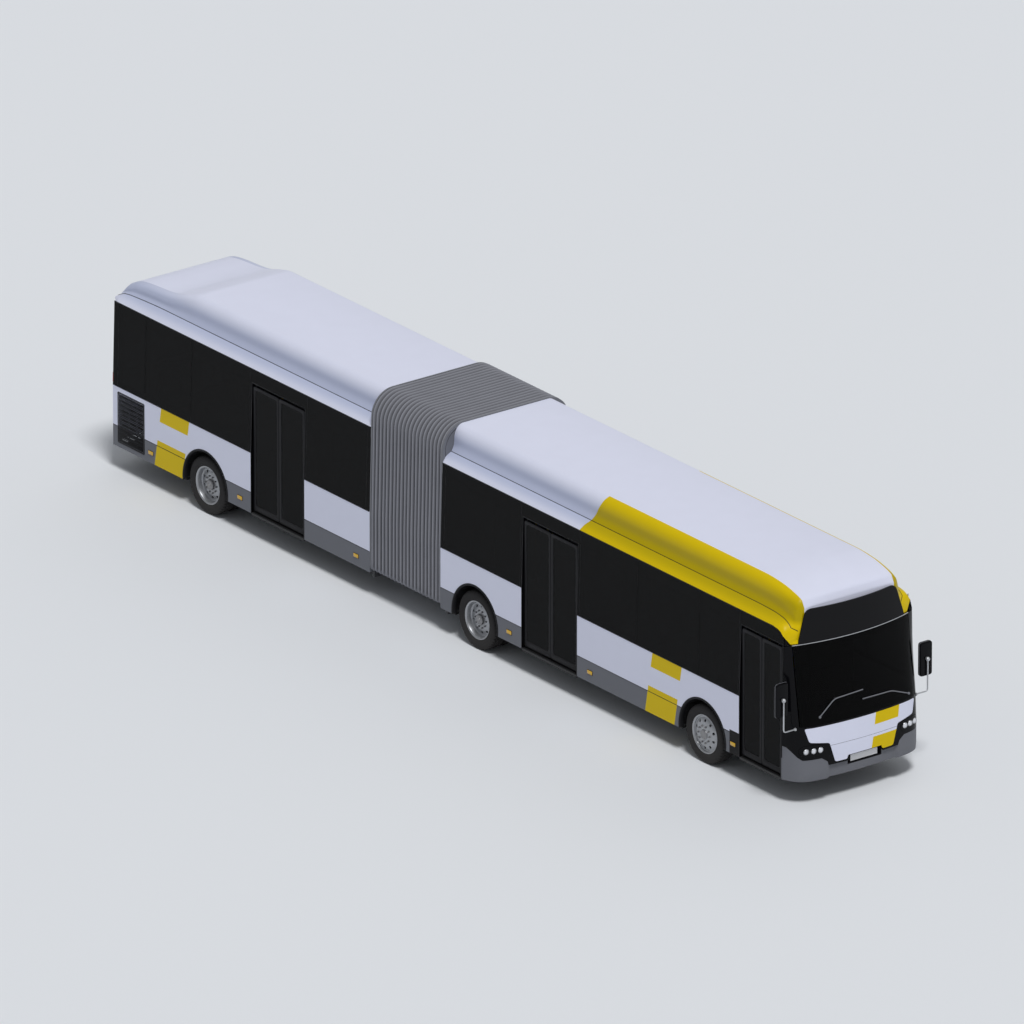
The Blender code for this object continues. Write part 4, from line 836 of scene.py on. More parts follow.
class Paints:
    """Every finish of the bus, by what it is on."""

    white = Finish("white_paint", SKY_TINTED_WHITE, 0.32, coat=0.15, grain_depth=0.01, tone_depth=0.02, dust=0.08,
                   specular=0.3)
    livery = LiveryFinish("side_livery", SKY_TINTED_WHITE, 0.34, grain_depth=0.01, tone_depth=0.02, dust=0.06,
                          dust_reach=0.9, specular=0.12)
    roof = RoofFinish("roof_paint", SKY_TINTED_WHITE, 0.36, grain_depth=0.01, tone_depth=0.02, dust=0.0, specular=0.15)
    panel = FrontPanelFinish("front_panel_paint", SKY_TINTED_WHITE, 0.32, grain_depth=0.01, tone_depth=0.02, dust=0.04,
                             specular=0.12)
    grey = Finish("grey_bumper_plastic", (0.150, 0.155, 0.175), 0.50, grain_scale=300.0, grain_depth=0.05,
                  tone_depth=0.05, dust=0.10, specular=0.3)
    black = Finish("black_gloss_paint", (0.003, 0.003, 0.004), 0.16, grain_depth=0.008, tone_depth=0.03,
                   dust=0.02, specular=0.12)
    trim = Finish("black_trim_plastic", (0.008, 0.008, 0.010), 0.5, grain_scale=400.0, grain_depth=0.10,
                  dust=0.05, specular=0.2)
    seal = Finish("window_rubber", (0.014, 0.014, 0.016), 0.72, grain_depth=0.08, dust=0.04, specular=0.2)
    glass = Finish("tinted_glass", (0.020, 0.021, 0.023), 0.03, grain_depth=0.0, tone_depth=0.0, dust=0.0,
                   see_through=1.0, ior=1.16)
    sign = Finish("sign_glass", (0.009, 0.009, 0.010), 0.12, grain_depth=0.0, tone_depth=0.0, dust=0.0,
                  specular=0.10)
    tyre = Finish("tyre_rubber", (0.022, 0.021, 0.022), 0.78, grain_scale=220.0, grain_depth=0.25,
                  tone_depth=0.12, dust=0.10, dust_reach=1.0, specular=0.25)
    rim = Finish("wheel_silver", (0.40, 0.41, 0.43), 0.38, metallic=0.75, grain_scale=260.0,
                 grain_depth=0.05, tone_depth=0.10, dust=0.15, dust_reach=1.4)
    steel = Finish("bolt_steel", (0.30, 0.30, 0.31), 0.42, metallic=0.9, grain_depth=0.06, dust=0.3)
    rod = Finish("satin_rod", (0.55, 0.56, 0.58), 0.34, metallic=0.7, grain_depth=0.02, dust=0.05)
    chassis = Finish("chassis_coat", (0.035, 0.036, 0.038), 0.62, metallic=0.2, grain_scale=90.0,
                     grain_depth=0.3, tone_depth=0.2, dust=0.25, dust_reach=1.0)
    # The bellows cloth carries painted shade down in its folds.
    bellows = FoldFinish("bellows_cloth", (0.285, 0.290, 0.325), 0.80, grain_scale=260.0, grain_depth=0.3,
                         grain_size=0.0006, tone_depth=0.08, dust=0.10, dust_reach=1.2, specular=0.2,
                         thread=0.004)
    hem = Finish("bellows_frame", (0.19, 0.195, 0.215), 0.5, metallic=0.1, grain_depth=0.06, dust=0.05,
                 specular=0.3)
    amber = Finish("amber_lens", (0.70, 0.40, 0.008), 0.16, grain_depth=0.0, tone_depth=0.05, dust=0.12,
                   coat=0.5)
    red = Finish("red_lens", (0.45, 0.012, 0.010), 0.14, grain_depth=0.0, tone_depth=0.05, dust=0.1, coat=0.6)
    lens = Finish("clear_lens", (0.78, 0.79, 0.84), 0.14, grain_depth=0.0, tone_depth=0.04, dust=0.05,
                  coat=1.0)
    mirror = Finish("mirror_glass", (0.85, 0.86, 0.88), 0.03, metallic=1.0, grain_depth=0.0, tone_depth=0.0,
                    dust=0.0)
    plate = Finish("plate_white", (0.82, 0.82, 0.84), 0.4, grain_depth=0.02, tone_depth=0.03, dust=0.15)
    pole = Finish("pole_yellow", (0.72, 0.50, 0.02), 0.30, coat=0.4, grain_depth=0.01, dust=0.0)
    seat_shell = Finish("seat_shell", (0.10, 0.11, 0.13), 0.5, grain_scale=350.0, grain_depth=0.1, dust=0.0)
    seat_cloth = ClothFinish("seat_cloth", (0.055, 0.075, 0.13), 0.9, grain_scale=300.0, grain_depth=0.5,
                             tone_scale=14.0, tone_depth=0.22, dust=0.0, sheen=0.4, thread=0.0022)
    floor = FloorFinish("floor_vinyl", (0.13, 0.135, 0.14), 0.55, grain_scale=420.0, grain_depth=0.2,
                        tone_scale=60.0, tone_depth=0.25, dust=0.0)
    cab = Finish("cab_plastic", (0.05, 0.052, 0.056), 0.6, grain_scale=300.0, grain_depth=0.25, dust=0.0)
    engine = Finish("engine_casting", (0.022, 0.022, 0.025), 0.6, specular=0.2, grain_scale=60.0,
                    grain_depth=0.5, tone_depth=0.25, dust=0.4, dust_reach=1.6)


def dress(piece: bpy.types.Object, finish: Finish, body: str | None = None, stands_for: Sequence[str] = ()) -> bpy.types.Object:
    """Gives a piece its one finish and says which body it rides on.

    Args:
        piece: the finished mesh object.
        finish: its surface.
        body: the CAD body that carries it, or None where it rides on none.
        stands_for: the CAD nodes that it replaces.

    Returns:
        The piece.
    """
    piece.data.materials.clear()
    piece.data.materials.append(finish.material())
    for polygon in piece.data.polygons:
        polygon.material_index = 0
    carry(piece, body, stands_for)
    return piece


def carry(piece: bpy.types.Object, body: str | None, stands_for: Sequence[str] = ()) -> None:
    """Lets a piece ride on a body and stand for CAD nodes."""
    if body:
        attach(piece, body)
    if stands_for:
        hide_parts(*stands_for)
    LOG.info("%s: %d faces", piece.name, len(piece.data.polygons))


def finish_node(node: str, finish: Finish) -> None:
    """Gives a CAD node that stays its finish."""
    material = finish.material()
    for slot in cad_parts[node].material_slots:
        slot.material = material


def panel_on(face: Place, name: str, outline: Sequence[Pair], proud: float, depth: float,
             step: float = 0.035) -> bpy.types.Object:
    """A plate that follows the front or rear face within an outline.

    Args:
        face: gives x from y and z.
        name: the piece's name.
        outline: (y, z) points.
        proud: how far its outside stands beyond the face.
        depth: how far its inside lies behind the face.
        step: the size of its facets.

    Returns:
        The cut plate.
    """
    sign = 1.0 if face(0.0, 1.0) > 0 else -1.0
    margin = 0.02
    ys = spread(min(y for y, _ in outline) - margin, max(y for y, _ in outline) + margin, step)
    zs = spread(min(z for _, z in outline) - margin, max(z for _, z in outline) + margin, step * 1.6)
    rows = []
    for z in zs:
        outside = [(face(y, z) + sign * proud, y, z) for y in ys]
        inside = [(face(y, z) - sign * depth, y, z) for y in reversed(ys)]
        rows.append(outside + inside)
    plate = shaped_grid(name, rows, ring=True, capped=True)
    reach = sorted((0.0, sign * 12.0))
    return carved(plate, prism("cutter", outline, "X", *reach), "INTERSECT")


def face_shell(face: Place, name: str, heights: Sequence[float], half_width: Callable[[float], float],
               thickness: float, steps: int = 56, back: float = 0.0) -> bpy.types.Object:
    """A smooth curved shell that follows the front or rear face from side to side.

    Args:
        face: gives x from y and z.
        name: the piece's name.
        heights: the rows' heights.
        half_width: gives the shell's half width from z.
        thickness: how deep the shell is behind its outside.
        steps: how many facets it has across.
        back: how far its outside lies behind the face.

    Returns:
        The closed shell.
    """
    front = face(0.0, 1.0) > 0
    sign = 1.0 if front else -1.0
    edge = BODY.edge_x + BODY.touch if front else BODY.rear_edge_x - BODY.touch
    shares = [2.0 * i / steps - 1.0 for i in range(steps + 1)]
    shares = [(1.0 - (1.0 - abs(s)) ** 1.6) * (1.0 if s >= 0 else -1.0) for s in shares]
    rows = []
    for z in heights:
        outside: list[Point] = []
        inside: list[Point] = []
        for share in shares:
            y = share * half_width(z)
            slope = (face(y + 0.004, z) - face(y - 0.004, z)) / 0.008
            length = hypot(1.0, slope)
            for depth, line in ((back, outside), (back + thickness, inside)):
                x = face(y, z) - sign * depth / length
                x = max(x, edge) if front else min(x, edge)
                line.append((x, y + sign * depth * slope / length, z))
        rows.append(outside + inside[::-1])
    return shaped_grid(name, rows, ring=True, capped=True)


def tube(name: str, path: Sequence[Point], radius: float, sides: int = 12) -> bpy.types.Object:
    """A round bar swept along a path of points.

    Args:
        name: the piece's name.
        path: the middle line.
        radius: the bar's radius.
        sides: how many facets it has round.

    Returns:
        The closed bar.
    """
    spots = [Vector(point) for point in path]
    normal = (spots[1] - spots[0]).orthogonal().normalized()
    rows = []
    for i, spot in enumerate(spots):
        ahead = spots[min(i + 1, len(spots) - 1)] - spots[max(i - 1, 0)]
        ahead.normalize()
        normal = (normal - ahead * normal.dot(ahead)).normalized()
        other = ahead.cross(normal)
        turns = [2 * pi * k / sides for k in range(sides)]
        rows.append([tuple(spot + radius * (cos(a) * normal + sin(a) * other)) for a in turns])
    return smooth(shaped_grid(name, rows, ring=True, capped=True))


def bend(corners: Sequence[Point], radius: float, steps: int = 5) -> list[Point]:
    """Rounds the inner corners of a path in space."""
    path = [corners[0]]
    for before, corner, after in zip(corners, corners[1:], corners[2:]):
        middle = Vector(corner)
        first = Vector(before) - middle
        second = Vector(after) - middle
        reach = min(radius, first.length * 0.49, second.length * 0.49)
        start = middle + first.normalized() * reach
        end = middle + second.normalized() * reach
        for k in range(steps + 1):
            t = k / steps
            path.append(tuple((1 - t) ** 2 * start + 2 * t * (1 - t) * middle + t * t * end))
    path.append(corners[-1])
    return path


def turned(name: str, profile: Sequence[Pair], middle: Point = (0.0, 0.0, 0.0),
           steps: int = 48) -> bpy.types.Object:
    """Spins a closed profile about a line along Y.

    Args:
        name: the piece's name.
        profile: (radius, y) points about the middle.
        middle: where the line passes.
        steps: how many facets it has round.

    Returns:
        The turned piece.
    """
    deselect_all()
    bpy.ops.mesh.primitive_circle_add(vertices=len(profile), radius=1.0, fill_type="NOTHING")
    piece = named(name)
    for vertex, (radius, y) in zip(piece.data.vertices, profile):
        vertex.co = (middle[0] + radius, middle[1] + y, middle[2])
    edit_all(
        piece,
        lambda: bpy.ops.mesh.spin(steps=steps, angle=2 * pi, center=middle, axis=(0.0, 1.0, 0.0)),
        lambda: bpy.ops.mesh.select_all(action="SELECT"),
        lambda: bpy.ops.mesh.remove_doubles(threshold=1e-5),
        lambda: bpy.ops.mesh.normals_make_consistent(inside=False),
    )
    return smooth(piece, 32.0)


def opened(piece: bpy.types.Object, outline: Sequence[Pair], reach: Pair = NOSE_CUT,
           operation: str = "DIFFERENCE") -> bpy.types.Object:
    """Cuts an outline out of a front or rear piece, or keeps what lies within it."""
    return carved(piece, prism("cutter", outline, "X", *reach), operation)


def bars(name: str, boxes: Sequence[tuple[Point, Point]], bevel: float = 0.002) -> bpy.types.Object:
    """Several straight strips as one piece, with their edges rounded."""
    pieces = [block(name, low, high) for low, high in boxes]
    return rounded(joined(name, pieces), bevel)


def pillow(name: str, size: Point, crown: float, channels: Sequence[float] = ()) -> bpy.types.Object:
    """A crowned cushion about the origin, with its foot at z = 0 and sewn channels along X.

    Args:
        name: the piece's name.
        size: length, width and thickness.
        crown: how far its middle rises over its rim.
        channels: where sewn channels cross it, as shares of half the width.

    Returns:
        The cushion.
    """
    piece = block(name, (-size[0] / 2, -size[1] / 2, 0.0), (size[0] / 2, size[1] / 2, size[2]))
    edit_all(piece, lambda: bpy.ops.mesh.subdivide(number_cuts=11))
    for vertex in piece.data.vertices:
        across = vertex.co.y / (size[1] / 2)
        along = vertex.co.x / (size[0] / 2)
        lift = vertex.co.z / size[2]
        swell = (1 - along**4) * (1 - across**4)
        sewn = sum(max(0.0, 1.0 - abs(across - place) / 0.10) for place in channels)
        vertex.co.z += lift * (crown * swell - 0.35 * crown * sewn * swell - 0.4 * crown)
        pull = 1.0 - 0.02 * lift * (abs(along) * abs(across)) ** 2
        vertex.co.x *= pull
        vertex.co.y *= pull
    rounded(piece, min(size) * 0.16, 3, 60.0)
    return piece


class Stage:
    """The pale floor, the soft light and the camera."""

    @dataclass(frozen=True)
    class View:
        """Where the camera stands: a far, nearly parallel view."""

        target: Point = (0.0, 0.0, 1.7645)
        towards: Point = (0.739, -0.560, 0.3746)
        distance: float = 400.0
        lens: float = 901.4
        reach: float = 2000.0

    view = View()

    def build(self) -> None:
        """Adds the floor, the light and the camera."""
        self.build_floor()
        self.build_light()
        self.build_camera()

    def build_floor(self) -> None:
        """A wide pale floor."""
        deselect_all()
        bpy.ops.mesh.primitive_circle_add(vertices=96, radius=600.0, fill_type="NGON")
        floor = bpy.context.object
        floor.name = "floor"
        material = bpy.data.materials.new("pale_floor")
        material.use_nodes = True
        shader = material.node_tree.nodes["Principled BSDF"]
        shader.inputs["Base Color"].default_value = (0.80, 0.82, 0.85, 1.0)
        shader.inputs["Roughness"].default_value = 0.9
        shader.inputs["Specular IOR Level"].default_value = 0.1
        floor.data.materials.append(material)

    def build_light(self) -> None:
        """An even world, a soft key from above and a weak light from behind."""
        world = bpy.data.worlds.new("studio")
        bpy.context.scene.world = world
        world.use_nodes = True
        world.node_tree.nodes["Background"].inputs["Color"].default_value = (0.93, 0.96, 1.0, 1.0)
        world.node_tree.nodes["Background"].inputs["Strength"].default_value = 0.30
        for name, towards, strength, angle in (
            ("key", (0.40, -0.16, 0.90), 1.9, 14.0), ("back", (-0.5, 0.8, 0.6), 0.2, 50.0),
        ):
            lamp = bpy.data.lights.new(name, "SUN")
            lamp.energy = strength
            lamp.angle = radians(angle)
            item = bpy.data.objects.new(name, lamp)
            item.rotation_euler = Vector(towards).to_track_quat("Z", "Y").to_euler()
            bpy.context.scene.collection.objects.link(item)

    def build_camera(self) -> None:
        """The camera at the photograph's viewing angle."""
        camera = bpy.data.cameras.new("camera")
        camera.lens = self.view.lens
        camera.sensor_width = 36.0
        camera.clip_start = 1.0
        camera.clip_end = self.view.reach
        item = bpy.data.objects.new("camera", camera)
        towards = Vector(self.view.towards).normalized()
        item.location = Vector(self.view.target) + towards * self.view.distance
        item.rotation_euler = towards.to_track_quat("Z", "Y").to_euler()
        bpy.context.scene.collection.objects.link(item)
        bpy.context.scene.camera = item
        bpy.context.scene.view_settings.view_transform = "Standard"


@dataclass
class RoofShell:
    """The roof of one section: gutter, cove and flat crown."""

    section: Section
    curve_steps: int = 4
    front_rows: tuple[tuple[float, ...], ...] = (
        (-0.164, 3.42, 0.87, 3.23, 1.00, 2.99, 1.06, 2.84, 1.235, 2.80),
        (7.60, 3.42, 0.87, 3.23, 1.00, 2.99, 1.06, 2.84, 1.235, 2.80),
        (8.00, 3.39, 0.87, 3.20, 1.00, 2.98, 1.06, 2.84, 1.235, 2.80),
        (8.30, 3.33, 0.87, 3.13, 1.00, 2.95, 1.07, 2.84, 1.235, 2.80),
        (8.43, 3.29, 0.87, 3.08, 1.00, 2.91, 1.08, 2.81, 1.235, 2.77),
        (8.50, 3.26, 0.87, 3.02, 1.00, 2.85, 1.08, 2.75, 1.235, 2.70),
    )
    front_end: tuple[float, ...] = (3.14, 0.87, 3.00, 0.925, 2.80, 1.00, 2.60, 1.13, 2.60)
    rear_rows: tuple[tuple[float, ...], ...] = (
        (-8.86, 2.95, 0.92, 2.91, 1.02, 2.88, 1.10, 2.84, 1.16, 2.84),
        (-8.70, 3.10, 0.93, 3.02, 1.03, 2.95, 1.08, 2.84, 1.235, 2.84),
        (-8.45, 3.18, 0.93, 3.09, 1.02, 2.97, 1.07, 2.84, 1.235, 2.80),
        (-7.62, 3.25, 0.92, 3.13, 1.01, 2.99, 1.06, 2.84, 1.235, 2.80),
        (-7.20, 3.37, 0.88, 3.20, 1.00, 2.99, 1.06, 2.84, 1.235, 2.80),
        (-6.95, 3.42, 0.87, 3.23, 1.00, 2.99, 1.06, 2.84, 1.235, 2.80),
        (-2.010, 3.42, 0.87, 3.23, 1.00, 2.99, 1.06, 2.84, 1.235, 2.80),
    )

    def build(self) -> None:
        """Builds the shell and its crease lines."""
        front = self.section is Section.FRONT
        rows = self.front_rows if front else self.rear_rows
        node = "front_roof" if front else "rear_roof"
        places = [row[0] for row in rows]
        if front:
            wanted = spread(-0.164, 7.6, 0.6) + spread(7.6, 8.5, 0.05)[1:]
        else:
            wanted = spread(-8.86, -6.9, 0.05) + spread(-6.9, -2.010, 0.6)[1:]
        values = eased(places, [row[1:] for row in rows], wanted)
        rings = [[(x, y, z) for y, z in self.ring(value)] for x, value in zip(wanted, values)]
        if front:
            end = self.ring(self.front_end)
            target = [(BODY.front_x(y, z) - 0.0306, y, z) for y, z in end]
            start = rings[-1]
            for t in (0.25, 0.5, 0.75, 1.0):
                rings.append([tuple(a + (b - a) * t for a, b in zip(p, q)) for p, q in zip(start, target)])
        shell = smooth(shaped_grid(f"{node}_shell", rings, ring=True, capped=True), 38.0)
        dress(shell, Paints.roof, self.section.value, (node,))
        self.build_crease(rings)

    def ring(self, value: Sequence[float]) -> list[Pair]:
        """One cross-section, smooth from the gutter to the crease and on to the crown."""
        top_z, top_y, cove_z, cove_y, crease_z, crease_y, gutter_z, gutter_y, ceiling_z = value
        inner = [(gutter_y - BODY.wall - 0.15, ceiling_z), (gutter_y - BODY.wall, gutter_z)]
        lower = [
            (gutter_y, gutter_z), ((gutter_y + crease_y) / 2 + 0.02, (gutter_z + crease_z) / 2 + 0.015),
            (crease_y, crease_z),
        ]
        upper = [
            (crease_y, crease_z), (crease_y * 0.6 + cove_y * 0.4 - 0.025, crease_z * 0.6 + cove_z * 0.4),
            (cove_y, cove_z),
            (cove_y * 0.62 + top_y * 0.38 + 0.012, cove_z * 0.38 + top_z * 0.62 - 0.005),
            (cove_y * 0.25 + top_y * 0.75 + 0.002, cove_z * 0.1 + top_z * 0.9), (top_y - 0.02, top_z),
        ]
        half = inner + self.curved(lower)[:-1] + self.curved(upper)
        return half + [(-y, z) for y, z in reversed(half)]

    def curved(self, points: Sequence[Pair]) -> list[Pair]:
        """A smooth line through points."""
        wanted = [i / self.curve_steps for i in range((len(points) - 1) * self.curve_steps + 1)]
        ends = [points[0], *points, points[-1]]
        line = []
        for place in wanted:
            i = min(int(place), len(points) - 2)
            t = place - i
            spots = ends[i:i + 4]
            weights = (
                -0.5 * t**3 + t**2 - 0.5 * t, 1.5 * t**3 - 2.5 * t**2 + 1, -1.5 * t**3 + 2 * t**2 + 0.5 * t,
                0.5 * t**3 - 0.5 * t**2,
            )
            line.append(tuple(sum(w * spot[k] for w, spot in zip(weights, spots)) for k in (0, 1)))
        return line

    def build_crease(self, rings: Sequence[Sequence[Point]]) -> None:
        """The dark joint line between the band and the fairing, on both sides."""
        index = 2 + 2 * self.curve_steps
        lines = []
        for column in (index, len(rings[0]) - 1 - index):
            path = [ring[column] for ring in rings]
            lines.append(tube(f"{self.section.value}_roof_line", path, 0.006, 6))
        dress(joined(f"{self.section.value}_roof_lines", lines), Paints.seal, self.section.value)


@dataclass
class SideWall:
    """One side wall of one section, dressed with its strips, seams, markers and arch lips."""

    section: Section
    hand: Hand
    start: float
    end: float
    axles: tuple[float, ...]
    doors: tuple[Pair, ...]
    panes: tuple[Pair, ...]
    markers: tuple[float, ...]
    lip_inner: float = 0.566
    lip_outer: float = 0.604
    marker_size: Pair = (0.12, 0.060)

    def name(self, part: str) -> str:
        """The name of one of this wall's pieces."""
        return f"{self.section.name.lower()}_{self.hand.word}_{part}"

    def sides(self, inner: float, outer: float) -> Pair:
        """Low and high y for a depth range, measured out from the middle of the bus."""
        low, high = sorted((self.hand.value * inner, self.hand.value * outer))
        return low, high

    def strip(self, x: Pair, z: Pair, inner: float, outer: float) -> tuple[Point, Point]:
        """The corners of one strip on this wall."""
        low, high = self.sides(inner, outer)
        return (x[0], low, z[0]), (x[1], high, z[1])

    def stretches(self, gaps: Iterable[Pair]) -> list[Pair]:
        """The parts of the wall's length that are left between gaps."""
        parts = []
        start = self.start
        for low, high in sorted(gaps):
            if low > start:
                parts.append((start, low))
            start = max(start, high)
        if start < self.end:
            parts.append((start, self.end))
        return parts

    def build(self) -> None:
        """Dresses the wall and its glass, and adds what stands on them."""
        section = self.section.name.lower()
        finish_node(f"{section}_wall_{self.hand.word}", Paints.livery)
        finish_node(f"{section}_glass_{self.hand.word}", Paints.glass)
        self.build_strips()
        self.build_lips()
        self.build_markers()
        self.build_window_lines()

    def build_strips(self) -> None:
        """The waist strip, the skirt seam and the drip rail."""
        width = BODY.half_w
        door_gaps = [(low - 0.01, high + 0.01) for low, high in self.doors]
        reach = (self.lip_outer**2 - (BODY.seam_z - TYRE_R) ** 2) ** 0.5
        arches = [(x - reach, x + reach) for x in self.axles]
        waist = [
            self.strip(part, (BODY.belt_z - 0.012, BODY.belt_z + 0.004), width - 0.004, width + 0.004)
            for part in self.stretches(door_gaps)
        ]
        rail = [self.strip((self.start, min(self.end, 8.28)), (2.832, 2.846), width - 0.048, width - 0.034)]
        dress(bars(self.name("waist_strip"), waist + rail, 0.003), Paints.seal, self.section.value)
        seam = [
            self.strip(part, (BODY.seam_z - 0.005, BODY.seam_z + 0.005), width - 0.004, width + 0.0015)
            for part in self.stretches(door_gaps + arches)
        ]
        dress(bars(self.name("skirt_seams"), seam, 0.001), Paints.trim, self.section.value)

    def build_lips(self) -> None:
        """The black lips round the wheel arches."""
        lips = []
        for x in self.axles:
            foot = asin((BODY.skirt_z - TYRE_R) / self.lip_outer)
            turns = [foot + (pi - 2 * foot) * i / 40 for i in range(41)]
            rows = []
            for turn in turns:
                section = (
                    (self.lip_inner, BODY.half_w - 0.075), (self.lip_inner, BODY.half_w - 0.004),
                    (self.lip_inner + 0.006, BODY.half_w + 0.005), (self.lip_inner + 0.014, BODY.half_w + 0.010),
                    (self.lip_outer - 0.008, BODY.half_w + 0.009), (self.lip_outer - 0.001, BODY.half_w + 0.003),
                    (self.lip_outer, BODY.half_w - 0.004), (self.lip_outer - 0.022, BODY.half_w - 0.006),
                    (self.lip_inner + 0.012, BODY.half_w - 0.075),
                )
                rows.append([
                    (x + radius * cos(turn), self.hand.value * y, TYRE_R + radius * sin(turn))
                    for radius, y in section
                ])
            lips.append(shaped_grid("lip", rows, ring=True, capped=True))
        dress(smooth(joined(self.name("arch_lips"), lips)), Paints.trim, self.section.value)

    def build_markers(self) -> None:
        """The amber side markers in their holders."""
        length, height = self.marker_size
        boxes = [
            self.strip((x - length / 2, x + length / 2), (0.58 - height / 2, 0.58 + height / 2),
                       BODY.half_w - 0.004, BODY.half_w + 0.012)
            for x in self.markers
        ]
        dress(bars(self.name("side_markers"), boxes, 0.006), Paints.amber, self.section.value)
        boxes = [
            self.strip((x - length / 2 - 0.008, x + length / 2 + 0.008), (0.572 - height / 2, 0.588 + height / 2),
                       BODY.half_w - 0.004, BODY.half_w + 0.004)
            for x in self.markers
        ]
        dress(bars(self.name("marker_holders"), boxes, 0.003), Paints.trim, self.section.value)

    def build_window_lines(self) -> None:
        """The joints between the bonded panes."""
        lines = []
        for start, end in self.panes:
            for x in (start - 0.05, end + 0.05):
                if self.start + 0.02 < x < self.end - 0.02:
                    lines.append(self.leaning((x - 0.004, x + 0.004), (BODY.belt_z + 0.004, 2.832)))
        if lines:
            dress(joined(self.name("window_lines"), lines), Paints.seal, self.section.value)

    def leaning(self, x: Pair, z: Pair) -> bpy.types.Object:
        """A thin line that lies on the leaning glass."""
        outline = [(BODY.wall_y(height) + depth, height) for height, depth in
                   ((z[0], -0.006), (z[0], 0.0016), (z[1], 0.0016), (z[1], -0.006))]
        return prism("line", [(self.hand.value * y, height) for y, height in outline], "X", *x)


@dataclass
class FrontEnd:
    """The nose: mask, white stepped panel, windscreen, sign, bumper, lamps, wipers and mirrors."""

    body: str = Section.FRONT.value
    mask_t: float = 0.035
    screen_half: float = 1.13
    screen_z: float = 1.30
    screen_top: float = 2.59
    sign_top: float = 3.13
    sign_halves: Pair = (1.045, 0.87)
    bumper_z: float = 0.40
    rise: tuple[Pair, ...] = (
        (0.669, 0.62), (0.70, 0.69), (0.80, 0.76), (1.10, 0.76), (1.16, 0.81), (1.25, 0.95), (1.375, 1.00),
    )
    lamps_y: tuple[float, ...] = (0.82, 0.935, 1.05)
    lamp_z: float = 0.90
    lamp_r: float = 0.045
    housing_r: float = 0.095
    panel: tuple[Pair, ...] = (
        (1.065, 1.272), (1.00, 1.045), (0.66, 0.985), (0.56, 0.655), (0.34, 0.655), (0.33, 0.715),
    )
    crease_z: float = 0.94
    step_y: Pair = (0.62, 0.69)
    step_back: float = 0.045
    recess: tuple[Pair, Pair] = ((-0.30, 0.535), (0.36, 0.705))
    plate: tuple[Pair, Pair] = ((-0.23, 0.565), (0.29, 0.675))
    mirror_y: float = 1.40
    mirror_half: Pair = (0.1155, 0.102)
    mirror_x: float = 8.672
    rod_x: float = 8.74
    rod_z: Pair = (1.27, 1.80)

    def build(self) -> None:
        """Builds the nose from its mask outwards."""
        self.build_mask()
        self.build_panel()
        self.build_screen()
        self.build_bumper()
        for hand in Hand:
            self.build_lamps(hand)
            self.build_mirror(hand)
        self.build_wipers()

    def half(self, z: float) -> float:
        """The half width of the mask and the bumper."""
        return BODY.wall_y(z) - 0.001

    def line(self, side: float) -> list[Pair]:
        """The bumper's rising line on one side."""
        return [(side * y, z) for y, z in self.rise]

    def housing(self, side: float, grow: float) -> list[Pair]:
        """The outline of the lamp housing."""
        inner, outer = self.lamps_y[0], self.lamps_y[-1]
        radius = self.housing_r + grow
        left = arc((inner, self.lamp_z), radius, 90, 270, 12)
        right = arc((outer, self.lamp_z), radius, -90, 90, 12)
        return [(side * y, z) for y, z in left + right]

    def build_mask(self) -> None:
        """The black mask round the windscreen and the lamps."""
        heights = [0.62, 0.70, 0.80, 0.90, 1.0, 1.1, 1.2, 1.30, 1.44, 1.6, 1.8, 2.0, 2.2, 2.4, 2.59]
        mask = face_shell(BODY.front_x, "front_mask_shell", heights, self.half, self.mask_t, 72)
        half = self.screen_half
        opened(mask, round_corners(rectangle((-half, self.screen_z), (half, 2.8)), 0.02))
        for side in (-1.0, 1.0):
            opened(mask, self.housing(side, 0.003))
            opened(mask, self.line(side) + [(side * 1.375, 0.5), (side * 0.669, 0.5)])
        opened(mask, rectangle(*self.recess))
        dress(smooth(mask), Paints.black, self.body, ("front_mask",))

    def panel_outline(self) -> list[Pair]:
        """The stepped outline of the white panel, notched over the plate recess."""
        return round_corners([*self.panel, *((-y, z) for y, z in reversed(self.panel))], 0.035, 5)

    def build_panel(self) -> None:
        """The white panel with its crease and its yellow blocks."""
        def bulged(y: float, z: float) -> float:
            return min(BODY.front_x(y, z), BODY.nose_x - 0.006)

        panel = panel_on(bulged, "front_panel", self.panel_outline(), 0.0055, 0.010, 0.03)
        dress(smooth(panel), Paints.panel, self.body)
        path = [(bulged(y, self.crease_z) + 0.0045, y, self.crease_z) for y in even(-0.64, 0.64, 40)]
        dress(tube("front_panel_crease", path, 0.003, 6), Paints.grey, self.body)

    def build_screen(self) -> None:
        """The windscreen with its printed border, the sign's glass and the light joints."""
        def glass_half(z: float) -> float:
            return self.screen_half - 0.012

        def sign_half(z: float) -> float:
            share = (z - self.screen_top) / (self.sign_top - self.screen_top)
            return self.sign_halves[0] + (self.sign_halves[1] - self.sign_halves[0]) * share

        heights = [1.3003, 1.37, 1.44] + spread(1.56, 2.588, 0.12)
        screen = face_shell(BODY.front_x, "windscreen_glass", heights, glass_half, 0.010, 64)
        dress(smooth(screen), Paints.glass, self.body, ("windscreen",))
        border = face_shell(BODY.front_x, "windscreen_border", heights, glass_half, 0.004, 64, back=0.011)
        inner = round_corners([(-1.05, 1.40), (1.05, 1.40), (1.04, 2.50), (-1.04, 2.50)], 0.10, 6)
        opened(border, inner)
        dress(smooth(border), Paints.trim, self.body)
        heights = spread(self.screen_top + 0.004, self.sign_top, 0.09)
        sign = face_shell(BODY.front_x, "sign_panel", heights, sign_half, 0.02, 56)
        corners = [(-1.045, 2.55), (1.045, 2.55), (0.872, self.sign_top), (-0.872, self.sign_top)]
        opened(sign, round_corners(corners, 0.12, 6), operation="INTERSECT")
        dress(smooth(sign), Paints.sign, self.body)
        joint = face_shell(BODY.front_x, "screen_joint", [2.586, 2.590, 2.596], lambda z: 1.128, 0.012, 48,
                           back=-0.002)
        dress(smooth(joint), Paints.rod, self.body)

